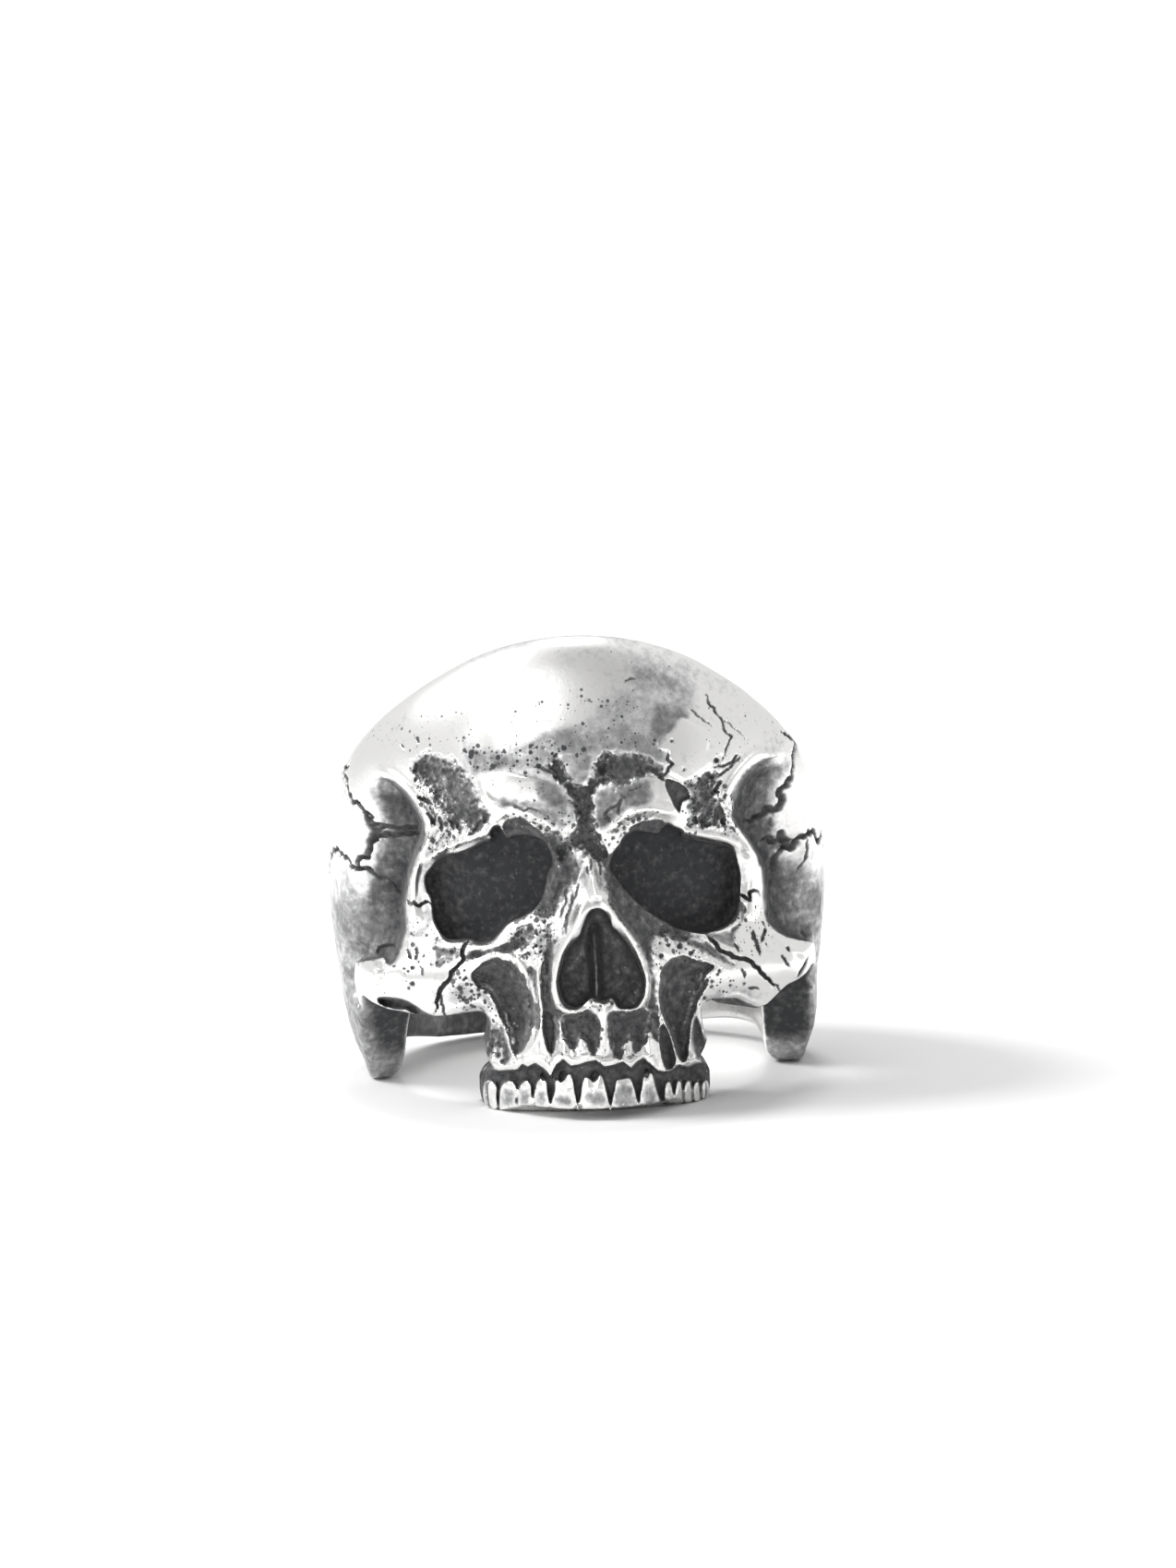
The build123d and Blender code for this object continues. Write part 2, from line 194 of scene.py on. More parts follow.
class Plane:
    """Relief in mm, oxide with painted shade 0 to 1, and grain, drawn on a flat sheet of 20.4 units to the mm."""

    def __init__(self, x0, y0, x1, y1, step):
        self.x0, self.y0, self.step = x0, y0, step
        self.nx, self.ny = int((x1 - x0) / step) + 1, int((y1 - y0) / step) + 1
        self.x, self.y = np.meshgrid((x0 + step * np.arange(self.nx)).astype(F4), (y0 + step * np.arange(self.ny)).astype(F4))
        self.relief, self.oxide_and_shade, self.grain, self.specks, self.glints = (np.zeros((self.ny, self.nx), F4) for _ in range(5))
        self.n8, self.n3, self.n20 = cloudy(self.x / 8, self.y / 8, 11, 4), cloudy(self.x / 3.2, self.y / 3.2, 23, 3), cloudy(self.x / 24, self.y / 24, 37, 3)

    def window(self, p, m):
        x0, x1 = max(0, int((p[:, 0].min() - m - self.x0) / self.step)), min(self.nx, int((p[:, 0].max() + m - self.x0) / self.step) + 2)
        y0, y1 = max(0, int((p[:, 1].min() - m - self.y0) / self.step)), min(self.ny, int((p[:, 1].max() + m - self.y0) / self.step) + 2)
        return slice(y0, y1), slice(x0, x1)

    def to_line(self, p, w):
        """Distance to a line, and how far along it, for every place in a window."""
        x, y = self.x[w], self.y[w]
        best, along = np.full(x.shape, 1e9, F4), np.zeros(x.shape, F4)
        run = np.r_[0, np.cumsum(np.hypot(*np.diff(p, axis=0).T))]
        total = run[-1] + 1e-9
        for i in range(len(p) - 1):
            (ax, ay), (bx, by) = p[i], p[i + 1]
            dx, dy = bx - ax, by - ay
            q = dx * dx + dy * dy
            if q < 1e-9:
                continue
            t = np.clip(((x - ax) * dx + (y - ay) * dy) / q, 0, 1)
            d = (x - ax - t * dx) ** 2 + (y - ay - t * dy) ** 2
            k = d < best
            best[k] = d[k]
            along[k] = ((run[i] + t * math.sqrt(q)) / total)[k]
        return np.sqrt(best), along

    def to_outline(self, p, w):
        """Distance to a closed outline, below 0 inside it."""
        x, y = self.x[w], self.y[w]
        q = np.vstack([p, p[:1]])
        d, _ = self.to_line(q, w)
        inside = np.zeros(x.shape, bool)
        for (ax, ay), (bx, by) in zip(q[:-1], q[1:]):
            if ay != by:
                inside ^= ((ay > y) != (by > y)) & (x < (bx - ax) * (y - ay) / (by - ay) + ax)
        return np.where(inside, -d, d)

    def patch(self, outline, depth, edge, oxide_and_shade, grain=0.0, ragged=0.0, bowl=0.0, soft=True):
        """Sinks an outline: a step at its edge, then a bowl inwards; the oxide deepens the same way."""
        p = smooth(outline, True, 4) if soft else np.asarray(outline, float)
        w = self.window(p, edge + 8)
        d = self.to_outline(p, w)
        if ragged:
            d = d + ragged * (0.7 * self.n8[w] + 0.6 * self.n3[w])
        s = ease(0.5 - d / edge)
        inner = ease(-d / bowl) if bowl else s
        self.relief[w] -= depth * (s if not bowl else 0.45 * s + 0.55 * inner)
        self.oxide_and_shade[w] = np.maximum(self.oxide_and_shade[w], oxide_and_shade * s * (0.72 + 0.28 * inner))
        self.glints[w] = np.maximum(self.glints[w], s * (depth > 0.15))
        if grain:
            self.grain[w] = np.maximum(self.grain[w], grain * s)

    def tone(self, outline, oxide_and_shade, edge=16, ragged=3.0):
        """A thin grey film with a soft edge: oxide in some places, painted shade or painted darker reflection in
        others.
        """
        p = smooth(outline, True, 4)
        w = self.window(p, edge)
        d = self.to_outline(p, w) + ragged * (1.2 * self.n20[w] + 0.8 * self.n8[w])
        self.oxide_and_shade[w] = np.maximum(self.oxide_and_shade[w], oxide_and_shade * ease(0.5 - d / edge) * (1 + 0.35 * self.n8[w]))

    def streaks(self, outline, angle, across, along, relief, oxide_and_shade, edge=8, seed=51):
        """Fine streaks at an angle (0 is along x), in relief and in oxide."""
        p = smooth(outline, True, 4)
        w = self.window(p, edge)
        s = ease(0.5 - self.to_outline(p, w) / edge)
        c, n = math.cos(math.radians(angle)), math.sin(math.radians(angle))
        x, y = self.x[w] + 3 * self.n20[w], self.y[w] + 3 * self.n8[w]
        wave = cloudy((x * c + y * n) / along + 40, (y * c - x * n) / across + 90, seed, 3)
        self.relief[w] -= relief * wave * s
        self.oxide_and_shade[w] = np.clip(self.oxide_and_shade[w] + oxide_and_shade * wave * s, 0, 1)

    def polish(self, outline, edge, keep=0.0, ragged=0.0):
        p = smooth(outline, True, 4)
        w = self.window(p, edge + 6)
        d = self.to_outline(p, w) + ragged * (0.7 * self.n8[w] + 0.6 * self.n3[w])
        self.oxide_and_shade[w] *= 1 - ease(0.5 - d / edge) * (1 - keep)

    def ridge(self, line, width, height, polish=1.0, taper=0.15):
        p = smooth(line, False, 5)
        w = self.window(p, width * 1.6)
        d, t = self.to_line(p, w)
        e = np.minimum(ease(t / taper + 0.02), ease((1 - t) / taper + 0.02))
        self.relief[w] += height * np.exp(-((d / (0.55 * width)) ** 2)) * e
        self.oxide_and_shade[w] *= 1 - polish * ease(1.3 - d / (0.62 * width)) * e

    def crack(self, line, width, depth, oxide_and_shade=1.0, ends=(0.1, 0.25), jag=0.8, wander=0.0):
        p = np.asarray(line, float)
        if wander:
            run = np.r_[0, np.cumsum(np.hypot(*np.diff(p, axis=0).T))]
            at = np.linspace(0, run[-1], max(int(run[-1] / 2.6), 2))
            off = np.random.default_rng(len(p) * 7 + int(run[-1])).normal(0, wander, (len(at), 2))
            off[1:-1] = (off[:-2] + 2 * off[1:-1] + off[2:]) / 3
            off[0] = off[-1] = 0
            p = np.stack([np.interp(at, run, p[:, 0]), np.interp(at, run, p[:, 1])], 1) + off
        w = self.window(p, width * 2 + 4)
        d, t = self.to_line(p, w)
        e = np.minimum(np.clip(t / ends[0], 0.25, 1), np.clip((1 - t) / ends[1], 0.12, 1))
        wide = width * e * (1 + 0.35 * self.n8[w])
        d = d + jag * 0.5 * self.n3[w]
        self.relief[w] -= depth * ease(1.25 - d / (0.5 * wide + 0.3)) * np.sqrt(e)
        self.oxide_and_shade[w] = np.maximum(self.oxide_and_shade[w], oxide_and_shade * ease(1.4 - d / (0.55 * wide + 0.3)) * e**0.4)

    def pit(self, x, y, r, depth, oxide_and_shade=0.9):
        w = self.window(np.array([[x, y]]), r + 2)
        d = np.hypot(self.x[w] - x, self.y[w] - y) * (1 + 0.25 * self.n3[w])
        self.relief[w] -= depth * ease(1.2 - d / r)
        self.oxide_and_shade[w] = np.maximum(self.oxide_and_shade[w], oxide_and_shade * ease(1.3 - d / r))

    def speckle(self, outline, amount, edge=14):
        p = smooth(outline, True, 4)
        w = self.window(p, edge)
        s = ease(0.5 - (self.to_outline(p, w) + 6 * self.n20[w]) / edge)
        self.specks[w] = np.maximum(self.specks[w], amount * s)

    def swell(self, x, y, rx, ry, height):
        self.relief += height * np.exp(-(((self.x - x) / rx) ** 2) - ((self.y - y) / ry) ** 2)

    def tooth(self, outline, height):
        """Crown of a tooth, raised inside its outline and rounded over."""
        p = smooth(outline, True, 4)
        w = self.window(p, 6)
        d = self.to_outline(p, w)
        across = (p[:, 0].max() - p[:, 0].min()) / 2
        self.relief[w] += height * (0.76 * ease((2.0 - d) / 2.6) + 0.24 * ease((1.0 - d) / max(across, 5)))
        self.oxide_and_shade[w] *= 1 - ease((2.2 - d) / 1.4)

    def blurred(self, a, radius):
        k = int(radius / self.step)
        for _ in range(3):
            for axis in (0, 1):
                pad = [(k + 1, k) if i == axis else (0, 0) for i in (0, 1)]
                c = np.cumsum(np.pad(a, pad, mode="edge"), axis=axis, dtype=np.float64)
                a = ((c[2 * k + 1:] - c[:-(2 * k + 1)]) if axis == 0 else (c[:, 2 * k + 1:] - c[:, :-(2 * k + 1)])).astype(F4) / (2 * k + 1)
        return a

    def settle(self):
        """Grain becomes relief, oxide gathers in what lies low, a soft painted shade darkens the wider hollows, and
        what stands up is rubbed bright.
        """
        self.relief += self.grain * (0.9 * self.n8 + 0.8 * self.n3)
        low = self.blurred(self.relief, 2.5) - self.relief
        wide = self.blurred(self.relief, 9.0) - self.relief
        worn = np.clip((-low - 0.016) * 8, 0, 1) * 0.62
        # oxide gathers in the narrow hollows; the wider hollows get a soft painted shade
        gathered_oxide_and_shade = np.clip((low - 0.010) * 6, 0, 0.55) + np.clip((wide - 0.02) * 2.2, 0, 0.36)
        self.oxide_and_shade = np.clip(self.oxide_and_shade * (1 - worn) + gathered_oxide_and_shade, 0, 1).astype(F4)

    def sample(self, a, px, py):
        return look_up2(a, (px - self.x0) / self.step, (py - self.y0) / self.step)


face = Plane(345, 672, 905, 1220, 0.5)
SIDE_DEG = math.radians(1) * 12.95 * PX_MM   # units of the side plane for one degree of bearing
side = Plane(-600, -500, 600, 20, 1.0)


def around(points, radius=12.95):
    """Points of the face plane as points of the side plane."""
    return [(t * SIDE_DEG, -z * PX_MM) for t, z in (to_side(px, py, radius) for px, py in points)]

# ------------------------------------------------------------------ carving, face plane
EYE_L = [(461, 955), (463, 947), (468, 940), (475, 932), (483, 927), (495, 925), (507, 921), (520, 914), (532, 909), (531, 903), (534, 897), (540, 895), (545, 901), (550, 907), (558, 905), (568, 904), (579, 906), (590, 912), (596, 922), (599, 935), (594, 945), (591, 960), (588, 972), (580, 984), (570, 991), (555, 998), (548, 1003), (540, 1012), (533, 1019), (520, 1021), (510, 1018), (490, 1018), (483, 1016), (476, 1008), (471, 998), (469, 985), (467, 972), (463, 965)]
EYE_R = [(660, 938), (664, 925), (671, 916), (675, 908), (683, 902), (692, 900), (705, 902), (713, 902), (717, 897), (723, 893), (731, 897), (738, 900), (739, 905), (745, 908), (760, 911), (775, 914), (787, 916), (795, 924), (798, 935), (801, 947), (801, 965), (800, 978), (797, 990), (790, 1000), (778, 1007), (768, 1010), (760, 1011), (750, 1010), (735, 1007), (722, 1000), (710, 993), (698, 985), (688, 976), (680, 968), (672, 958), (665, 948)]
NOSE = [(645, 985), (640, 987), (636, 993), (632, 1003), (628, 1014), (621, 1021), (616, 1028), (612, 1034), (609, 1045), (606, 1057), (605, 1066), (608, 1078), (613, 1087), (620, 1091), (627, 1091), (633, 1087), (639, 1082), (643, 1081), (648, 1084), (656, 1084), (661, 1081), (665, 1083), (670, 1091), (677, 1093), (687, 1092), (692, 1087), (697, 1076), (698, 1062), (694, 1050), (689, 1040), (683, 1029), (676, 1018), (668, 1009), (663, 1004), (660, 995), (656, 989), (650, 985)]
HOLLOW_L = [(513, 1055), (520, 1047), (530, 1041), (540, 1040), (552, 1044), (560, 1051), (567, 1060), (573, 1075), (577, 1095), (577, 1110), (570, 1130), (563, 1140), (556, 1140), (552, 1125), (548, 1112), (543, 1100), (538, 1090), (530, 1075), (520, 1070), (514, 1063)]
HOLLOW_R = [(716, 1065), (718, 1052), (727, 1041), (738, 1037), (750, 1041), (770, 1046), (772, 1049), (766, 1055), (762, 1062), (765, 1068), (757, 1080), (752, 1095), (747, 1110), (746, 1125), (744, 1140), (740, 1149), (735, 1143), (728, 1125), (720, 1105), (715, 1088), (714, 1075)]

SHELTERED = [
    # outline, depth mm, edge, oxide, grain, ragged, bowl
    # left flank of the nasal bone, down the inner wall of the left socket
    ([(590, 903), (604, 906), (612, 912), (622, 925), (626, 945), (622, 962), (610, 975), (596, 994), (578, 988), (582, 968), (586, 950), (590, 932)], 0.26, 7, 0.92, 0.05, 3.0, 12),
    # right flank of the nose, from the right socket down to the gum
    ([(655, 925), (664, 930), (672, 945), (684, 965), (705, 985), (730, 1002), (748, 1012), (742, 1020), (722, 1016), (708, 1018), (706, 1035), (708, 1058), (710, 1085), (712, 1100), (703, 1098), (702, 1080), (702, 1060), (697, 1040), (688, 1018), (676, 1000), (664, 985), (658, 968), (655, 945)], 0.24, 6, 0.90, 0.05, 3.0, 10),
    # left of the nose rim
    ([(592, 1004), (598, 1012), (597, 1040), (595, 1070), (600, 1092), (606, 1100), (604, 1125), (597, 1142), (592, 1128), (590, 1105), (588, 1080), (588, 1055), (590, 1030)], 0.22, 6, 0.62, 0.03, 2.2),
    ([(572, 1050), (580, 1055), (583, 1080), (585, 1105), (579, 1118), (574, 1095)], 0.14, 5, 0.50, 0.03, 2.0),
    # between the brows
    ([(598, 816), (606, 824), (613, 838), (622, 850), (630, 852), (640, 845), (646, 832), (650, 820), (661, 818), (657, 838), (646, 853), (641, 866), (643, 880), (646, 895), (650, 908), (658, 925), (650, 934), (636, 921), (622, 921), (610, 932), (602, 922), (614, 911), (623, 900), (625, 885), (620, 868), (613, 856), (603, 845), (596, 832)], 0.40, 8, 0.95, 0.09, 5.0, 9),
    # above the right brow
    ([(645, 826), (658, 818), (680, 816), (702, 822), (718, 832), (714, 838), (700, 840), (690, 846), (672, 852), (655, 845), (646, 836)], 0.26, 9, 0.92, 0.08, 6.5, 12),
    # above the left brow
    ([(447, 829), (458, 819), (474, 820), (490, 825), (503, 838), (513, 852), (520, 866), (522, 876), (528, 884), (522, 896), (508, 900), (494, 896), (482, 884), (472, 866), (458, 848), (449, 838)], 0.42, 11, 0.74, 0.09, 6.0, 16),
    # above the right brow, outer part, and the flaked pit beside it
    ([(742, 849), (752, 846), (766, 838), (776, 840), (773, 852), (778, 864), (788, 874), (790, 884), (785, 894), (768, 895), (752, 893), (744, 882), (748, 868), (746, 856)], 0.30, 8, 0.64, 0.10, 5.5, 12),
    ([(722, 845), (730, 847), (742, 853), (746, 864), (739, 868), (737, 872), (736, 880), (731, 872), (725, 860), (722, 852)], 0.36, 3, 0.95, 0.02, 0.8),
    # under the upper rim of each socket
    ([(546, 894), (556, 889), (567, 889), (577, 897), (591, 908), (590, 914), (566, 908), (549, 908)], 0.40, 4, 0.92, 0.05, 1.5),
    ([(683, 899), (694, 893), (706, 890), (718, 892), (714, 901), (700, 903), (686, 905)], 0.35, 4, 0.80, 0.04, 1.5),
    # cheek hollows
    (HOLLOW_L, 0.85, 5.0, 0.86, 0.04, 1.6, 16),
    (HOLLOW_R, 0.85, 5.0, 0.86, 0.04, 1.6, 16),
    # between the roots, left and right of the spine under the nose
    ([(609, 1102), (625, 1099), (637, 1095), (645, 1099), (649, 1112), (648, 1128), (645, 1141), (640, 1140), (634, 1128), (627, 1126), (621, 1136), (613, 1126), (609, 1112)], 0.48, 4.5, 0.88, 0.05, 2.0, 9),
    ([(661, 1098), (680, 1096), (700, 1096), (705, 1106), (702, 1121), (695, 1136), (688, 1140), (684, 1128), (676, 1130), (673, 1146), (667, 1145), (661, 1131), (660, 1112)], 0.48, 4.5, 0.90, 0.05, 2.0, 9),
    ([(716, 1113), (720, 1112), (725, 1122), (729, 1138), (731, 1150), (727, 1158), (722, 1158), (718, 1146), (715, 1128)], 0.45, 3.5, 1.0, 0.0, 0.8),
    ([(753, 1102), (757, 1109), (761, 1121), (767, 1133), (766, 1145), (759, 1151), (753, 1142), (750, 1120)], 0.50, 4.0, 0.85, 0.02, 0.8, 7),
    ([(704, 1100), (711, 1100), (714, 1112), (713, 1128), (708, 1124), (704, 1113)], 0.25, 4, 0.65, 0.05, 1.8),
    ([(536, 1108), (545, 1112), (550, 1128), (553, 1145), (545, 1152), (537, 1140), (531, 1130)], 0.30, 6, 0.62, 0.05, 2.5, 8),
    ([(588, 1098), (597, 1100), (600, 1120), (598, 1140), (592, 1130), (589, 1112)], 0.30, 4, 0.75, 0.05, 1.5),
    ([(524, 1118), (534, 1116), (536, 1132), (532, 1146), (526, 1140), (528, 1130)], 0.20, 5, 0.60, 0.05, 2.0),
    # below the sockets
    ([(470, 1027), (486, 1029), (501, 1031), (498, 1040), (488, 1045), (474, 1049), (466, 1046), (474, 1040)], 0.16, 7, 0.42, 0.04, 3.0),
    ([(505, 1036), (520, 1030), (545, 1025), (558, 1016), (568, 1020), (556, 1031), (528, 1034), (510, 1041)], 0.20, 6, 0.50, 0.04, 2.0),
    ([(554, 1010), (566, 1002), (578, 1004), (580, 1018), (570, 1030), (556, 1022)], 0.12, 8, 0.40, 0.05, 3.0),
    ([(733, 1006), (752, 1012), (768, 1022), (784, 1036), (796, 1045), (786, 1044), (765, 1032), (748, 1024), (735, 1016)], 0.14, 6, 0.45, 0.02, 2.0),
    ([(764, 1010), (776, 1012), (790, 1008), (799, 1003), (795, 1016), (800, 1028), (790, 1026), (776, 1019)], 0.12, 5, 0.38, 0.01, 1.5),
    ([(797, 975), (806, 980), (806, 992), (800, 1004), (790, 1008), (792, 996), (797, 986)], 0.10, 5, 0.40, 0.02, 1.5),
    # temples
    ([(411, 842), (426, 842), (438, 853), (449, 867), (456, 882), (460, 895), (447, 899), (420, 897), (413, 886), (409, 872), (405, 858), (407, 848)], 0.12, 10, 0.56, 0.03, 3.5, 20),
    ([(412, 908), (425, 905), (458, 903), (461, 907), (455, 920), (445, 936), (439, 954), (437, 972), (428, 962), (420, 951), (412, 947), (408, 935), (408, 922)], 0.10, 7, 0.54, 0.03, 2.5, 18),
    ([(829, 824), (838, 832), (840, 842), (835, 856), (831, 868), (836, 874), (825, 886), (812, 891), (799, 889), (794, 876), (793, 862), (800, 846), (811, 831)], 0.12, 9, 0.62, 0.03, 3.0, 16),
    ([(836, 880), (829, 890), (822, 902), (821, 912), (828, 935), (832, 955), (837, 945), (840, 925), (848, 917), (845, 905), (840, 912), (835, 902), (838, 888)], 0.10, 7, 0.60, 0.03, 2.5),
]
TONES = [
    # outline, oxide and painted shade, edge
    # the lower forehead: a band of painted darker reflection, deepest at its left end
    ([(505, 800), (520, 812), (545, 812), (575, 800), (610, 789), (650, 786), (690, 792), (716, 806), (722, 826), (700, 822), (664, 816), (640, 818), (606, 818), (598, 838), (570, 836), (545, 836), (522, 842), (510, 836)], 0.38, 14),
    ([(506, 812), (530, 814), (546, 816), (552, 828), (540, 836), (520, 838), (510, 830)], 0.55, 10),
    # the upper right of the forehead: painted darker reflection
    ([(660, 752), (700, 748), (738, 766), (742, 776), (728, 794), (716, 806), (700, 812), (676, 808), (650, 800), (640, 780)], 0.20, 22),
    ([(716, 758), (738, 764), (744, 776), (732, 794), (718, 806), (704, 800), (706, 776)], 0.52, 14), ([(690, 716), (730, 726), (752, 746), (744, 764), (716, 756), (690, 746)], 0.34, 30),
    # over the inner brows and between them: painted shade together with oxide
    ([(540, 862), (580, 868), (604, 874), (618, 890), (606, 898), (584, 890), (556, 880), (530, 868), (522, 858), (532, 856)], 0.44, 12),
    ([(584, 846), (602, 852), (616, 868), (620, 890), (606, 884), (590, 868), (576, 856)], 0.58, 12), ([(604, 818), (644, 818), (640, 834), (628, 852), (616, 842), (606, 830)], 0.38, 6),
    ([(648, 860), (668, 850), (694, 848), (710, 850), (706, 868), (690, 876), (668, 890), (652, 902), (645, 884)], 0.60, 9), ([(652, 856), (672, 848), (690, 850), (684, 872), (664, 890), (652, 880)], 0.22, 12),
    ([(450, 930), (466, 926), (474, 922), (478, 926), (466, 934), (458, 944), (452, 942)], 0.26, 6),
    ([(455, 986), (468, 986), (470, 998), (460, 1002), (454, 996)], 0.30, 7), ([(486, 1018), (510, 1024), (500, 1030), (484, 1028)], 0.22, 6),
    ([(570, 1004), (600, 1000), (600, 1034), (572, 1036)], 0.22, 16), ([(512, 1052), (535, 1078), (548, 1106), (536, 1100), (520, 1082), (500, 1070)], 0.20, 12),
    ([(748, 904), (792, 912), (798, 906), (770, 898), (750, 898)], 0.22, 5), ([(460, 1048), (510, 1050), (500, 1090), (470, 1090)], 0.08, 16),
    ([(626, 930), (634, 934), (634, 960), (626, 958)], 0.30, 6), ([(652, 940), (656, 950), (654, 966), (650, 962)], 0.36, 5), ([(770, 1078), (800, 1070), (826, 1082), (800, 1082), (780, 1092)], 0.18, 10),
    ([(836, 792), (852, 800), (856, 830), (846, 846), (838, 830), (824, 820)], 0.12, 16), ([(440, 1000), (470, 1004), (500, 1026), (470, 1050), (446, 1040)], 0.14, 18),
    # along the crown's upper edge and across the top of the forehead: painted shade, a darker reflection
    ([(496, 724), (530, 704), (570, 693), (610, 687), (650, 687), (690, 693), (690, 701), (650, 696), (610, 697), (572, 704), (534, 716), (502, 734)], 0.17, 10),
    ([(604, 700), (680, 692), (740, 712), (800, 750), (780, 752), (720, 728), (660, 712), (600, 716)], 0.10, 20), ([(440, 770), (480, 750), (520, 728), (500, 752), (460, 776), (420, 796)], 0.12, 16),
    ([(486, 1070), (512, 1064), (534, 1086), (530, 1102), (506, 1098), (488, 1090)], 0.26, 14), ([(590, 1096), (604, 1096), (606, 1140), (594, 1146)], 0.30, 8),
    ([(660, 1140), (690, 1140), (712, 1146), (712, 1158), (690, 1150), (662, 1152)], 0.20, 8),
]
STREAKS = [
    # outline, angle, across, along, relief mm, oxide
    ([(596, 908), (626, 915), (630, 960), (620, 990), (600, 1006), (588, 990), (596, 950)], 100, 3.0, 22, 0.04, 0.26), ([(604, 960), (632, 960), (624, 1000), (612, 1020), (600, 1020)], 112, 3.0, 24, 0.06, 0.42),
    ([(470, 878), (500, 890), (530, 880), (528, 902), (500, 914), (478, 924), (462, 912), (464, 896)], 118, 4.2, 16, 0.12, 0.60), ([(447, 840), (470, 850), (484, 884), (470, 900), (458, 880)], 62, 4.5, 10, 0.12, 0.65),
    ([(746, 860), (776, 862), (790, 880), (786, 898), (752, 896)], 100, 4.5, 10, 0.10, 0.60), ([(752, 898), (790, 905), (812, 918), (798, 914), (770, 906)], 18, 3.0, 26, 0.05, 0.35),
    ([(530, 1100), (560, 1104), (566, 1150), (528, 1150)], 86, 4.0, 22, 0.14, 0.55), ([(574, 1044), (596, 1044), (600, 1140), (580, 1140)], 88, 3.2, 40, 0.08, 0.45),
    ([(610, 1096), (648, 1096), (646, 1140), (612, 1136)], 84, 3.6, 18, 0.06, 0.35), ([(662, 1096), (704, 1096), (704, 1140), (662, 1140)], 92, 3.6, 18, 0.06, 0.30),
    ([(655, 930), (700, 985), (744, 1012), (712, 1100), (700, 1040)], 55, 3.4, 30, 0.04, 0.35), ([(516, 1046), (572, 1050), (574, 1130), (540, 1100)], 76, 4.0, 22, 0.05, 0.22),
    ([(718, 1042), (766, 1048), (748, 1140), (730, 1130)], 98, 4.0, 22, 0.05, 0.22), ([(640, 926), (652, 926), (652, 970), (636, 970)], 92, 2.6, 16, 0.05, 0.45),
    ([(500, 1020), (560, 1010), (560, 1034), (500, 1040)], 160, 3.5, 30, 0.06, 0.40), ([(735, 1008), (800, 1040), (790, 1052), (735, 1022)], 30, 3.5, 30, 0.05, 0.35),
    ([(452, 826), (500, 826), (520, 866), (524, 890), (480, 884), (460, 850)], 60, 5.0, 16, 0.08, 0.30), ([(520, 1064), (548, 1104), (556, 1130), (536, 1124), (516, 1084)], 60, 4.0, 14, 0.08, 0.40),
    ([(720, 1130), (770, 1130), (770, 1160), (720, 1160)], 90, 4.5, 14, 0.06, 0.40), ([(560, 1000), (600, 985), (604, 1040), (560, 1040)], 120, 5.0, 9, 0.10, 0.55),
    ([(648, 896), (676, 884), (716, 882), (716, 894), (684, 900), (664, 918), (650, 920)], 120, 4.5, 9, 0.08, 0.50), ([(540, 880), (600, 888), (624, 908), (604, 914), (560, 888)], 60, 4.5, 9, 0.07, 0.45),
]
GUM = [(520, 1160), (530, 1159), (541, 1161), (553, 1160), (561, 1160), (566, 1154), (572, 1157), (580, 1153), (588, 1158), (597, 1167), (603, 1155), (610, 1149), (618, 1156), (626, 1155), (635, 1152), (645, 1150), (655, 1157), (664, 1155), (675, 1152), (684, 1159), (690, 1152), (697, 1148), (705, 1155), (712, 1161), (719, 1162), (727, 1160), (735, 1155), (745, 1157), (757, 1152), (768, 1151), (774, 1160), (774, 1196), (720, 1212), (660, 1222), (580, 1220), (516, 1210)]
TEETH = [
    # outline of each crown, height mm
    ([(526, 1173), (533, 1171), (538, 1177), (538, 1188), (539, 1201), (534, 1202), (527, 1198), (524, 1186)], 0.60),
    ([(542, 1179), (547, 1172), (553, 1171), (558, 1175), (560, 1183), (559, 1192), (559, 1203), (550, 1205), (542, 1204), (541, 1192)], 0.68),
    ([(562, 1180), (566, 1173), (571, 1171), (575, 1176), (576, 1188), (577, 1203), (569, 1205), (562, 1204), (561, 1192)], 0.70),
    ([(580, 1178), (583, 1171), (588, 1168), (592, 1173), (593, 1184), (596, 1202), (588, 1204), (579, 1203), (578, 1190)], 0.70),
    ([(601, 1182), (601, 1173), (604, 1170), (608, 1173), (612, 1167), (618, 1164), (621, 1173), (623, 1186), (627, 1208), (614, 1210), (600, 1207), (597, 1197)], 0.78),
    ([(630, 1178), (632, 1170), (635, 1167), (639, 1169), (643, 1172), (649, 1165), (653, 1168), (656, 1179), (659, 1192), (662, 1207), (648, 1210), (629, 1209), (626, 1200), (629, 1188)], 0.80),
    ([(666, 1180), (668, 1171), (675, 1169), (683, 1169), (687, 1179), (690, 1191), (693, 1206), (679, 1208), (662, 1207), (663, 1193)], 0.78),
    ([(695, 1179), (697, 1167), (701, 1162), (706, 1163), (709, 1173), (713, 1187), (717, 1201), (707, 1204), (694, 1206), (693, 1191)], 0.76),
    ([(720, 1179), (723, 1172), (727, 1174), (729, 1184), (730, 1194), (724, 1196), (720, 1190)], 0.62),
    ([(732, 1178), (734, 1171), (738, 1173), (739, 1184), (739, 1195), (733, 1197), (731, 1188)], 0.62),
    ([(741, 1178), (744, 1171), (748, 1173), (749, 1184), (749, 1194), (743, 1196), (741, 1188)], 0.60),
    ([(751, 1178), (754, 1172), (757, 1174), (758, 1183), (758, 1192), (753, 1194), (751, 1187)], 0.56), ([(760, 1177), (763, 1171), (766, 1173), (767, 1181), (766, 1189), (761, 1191)], 0.50),
]
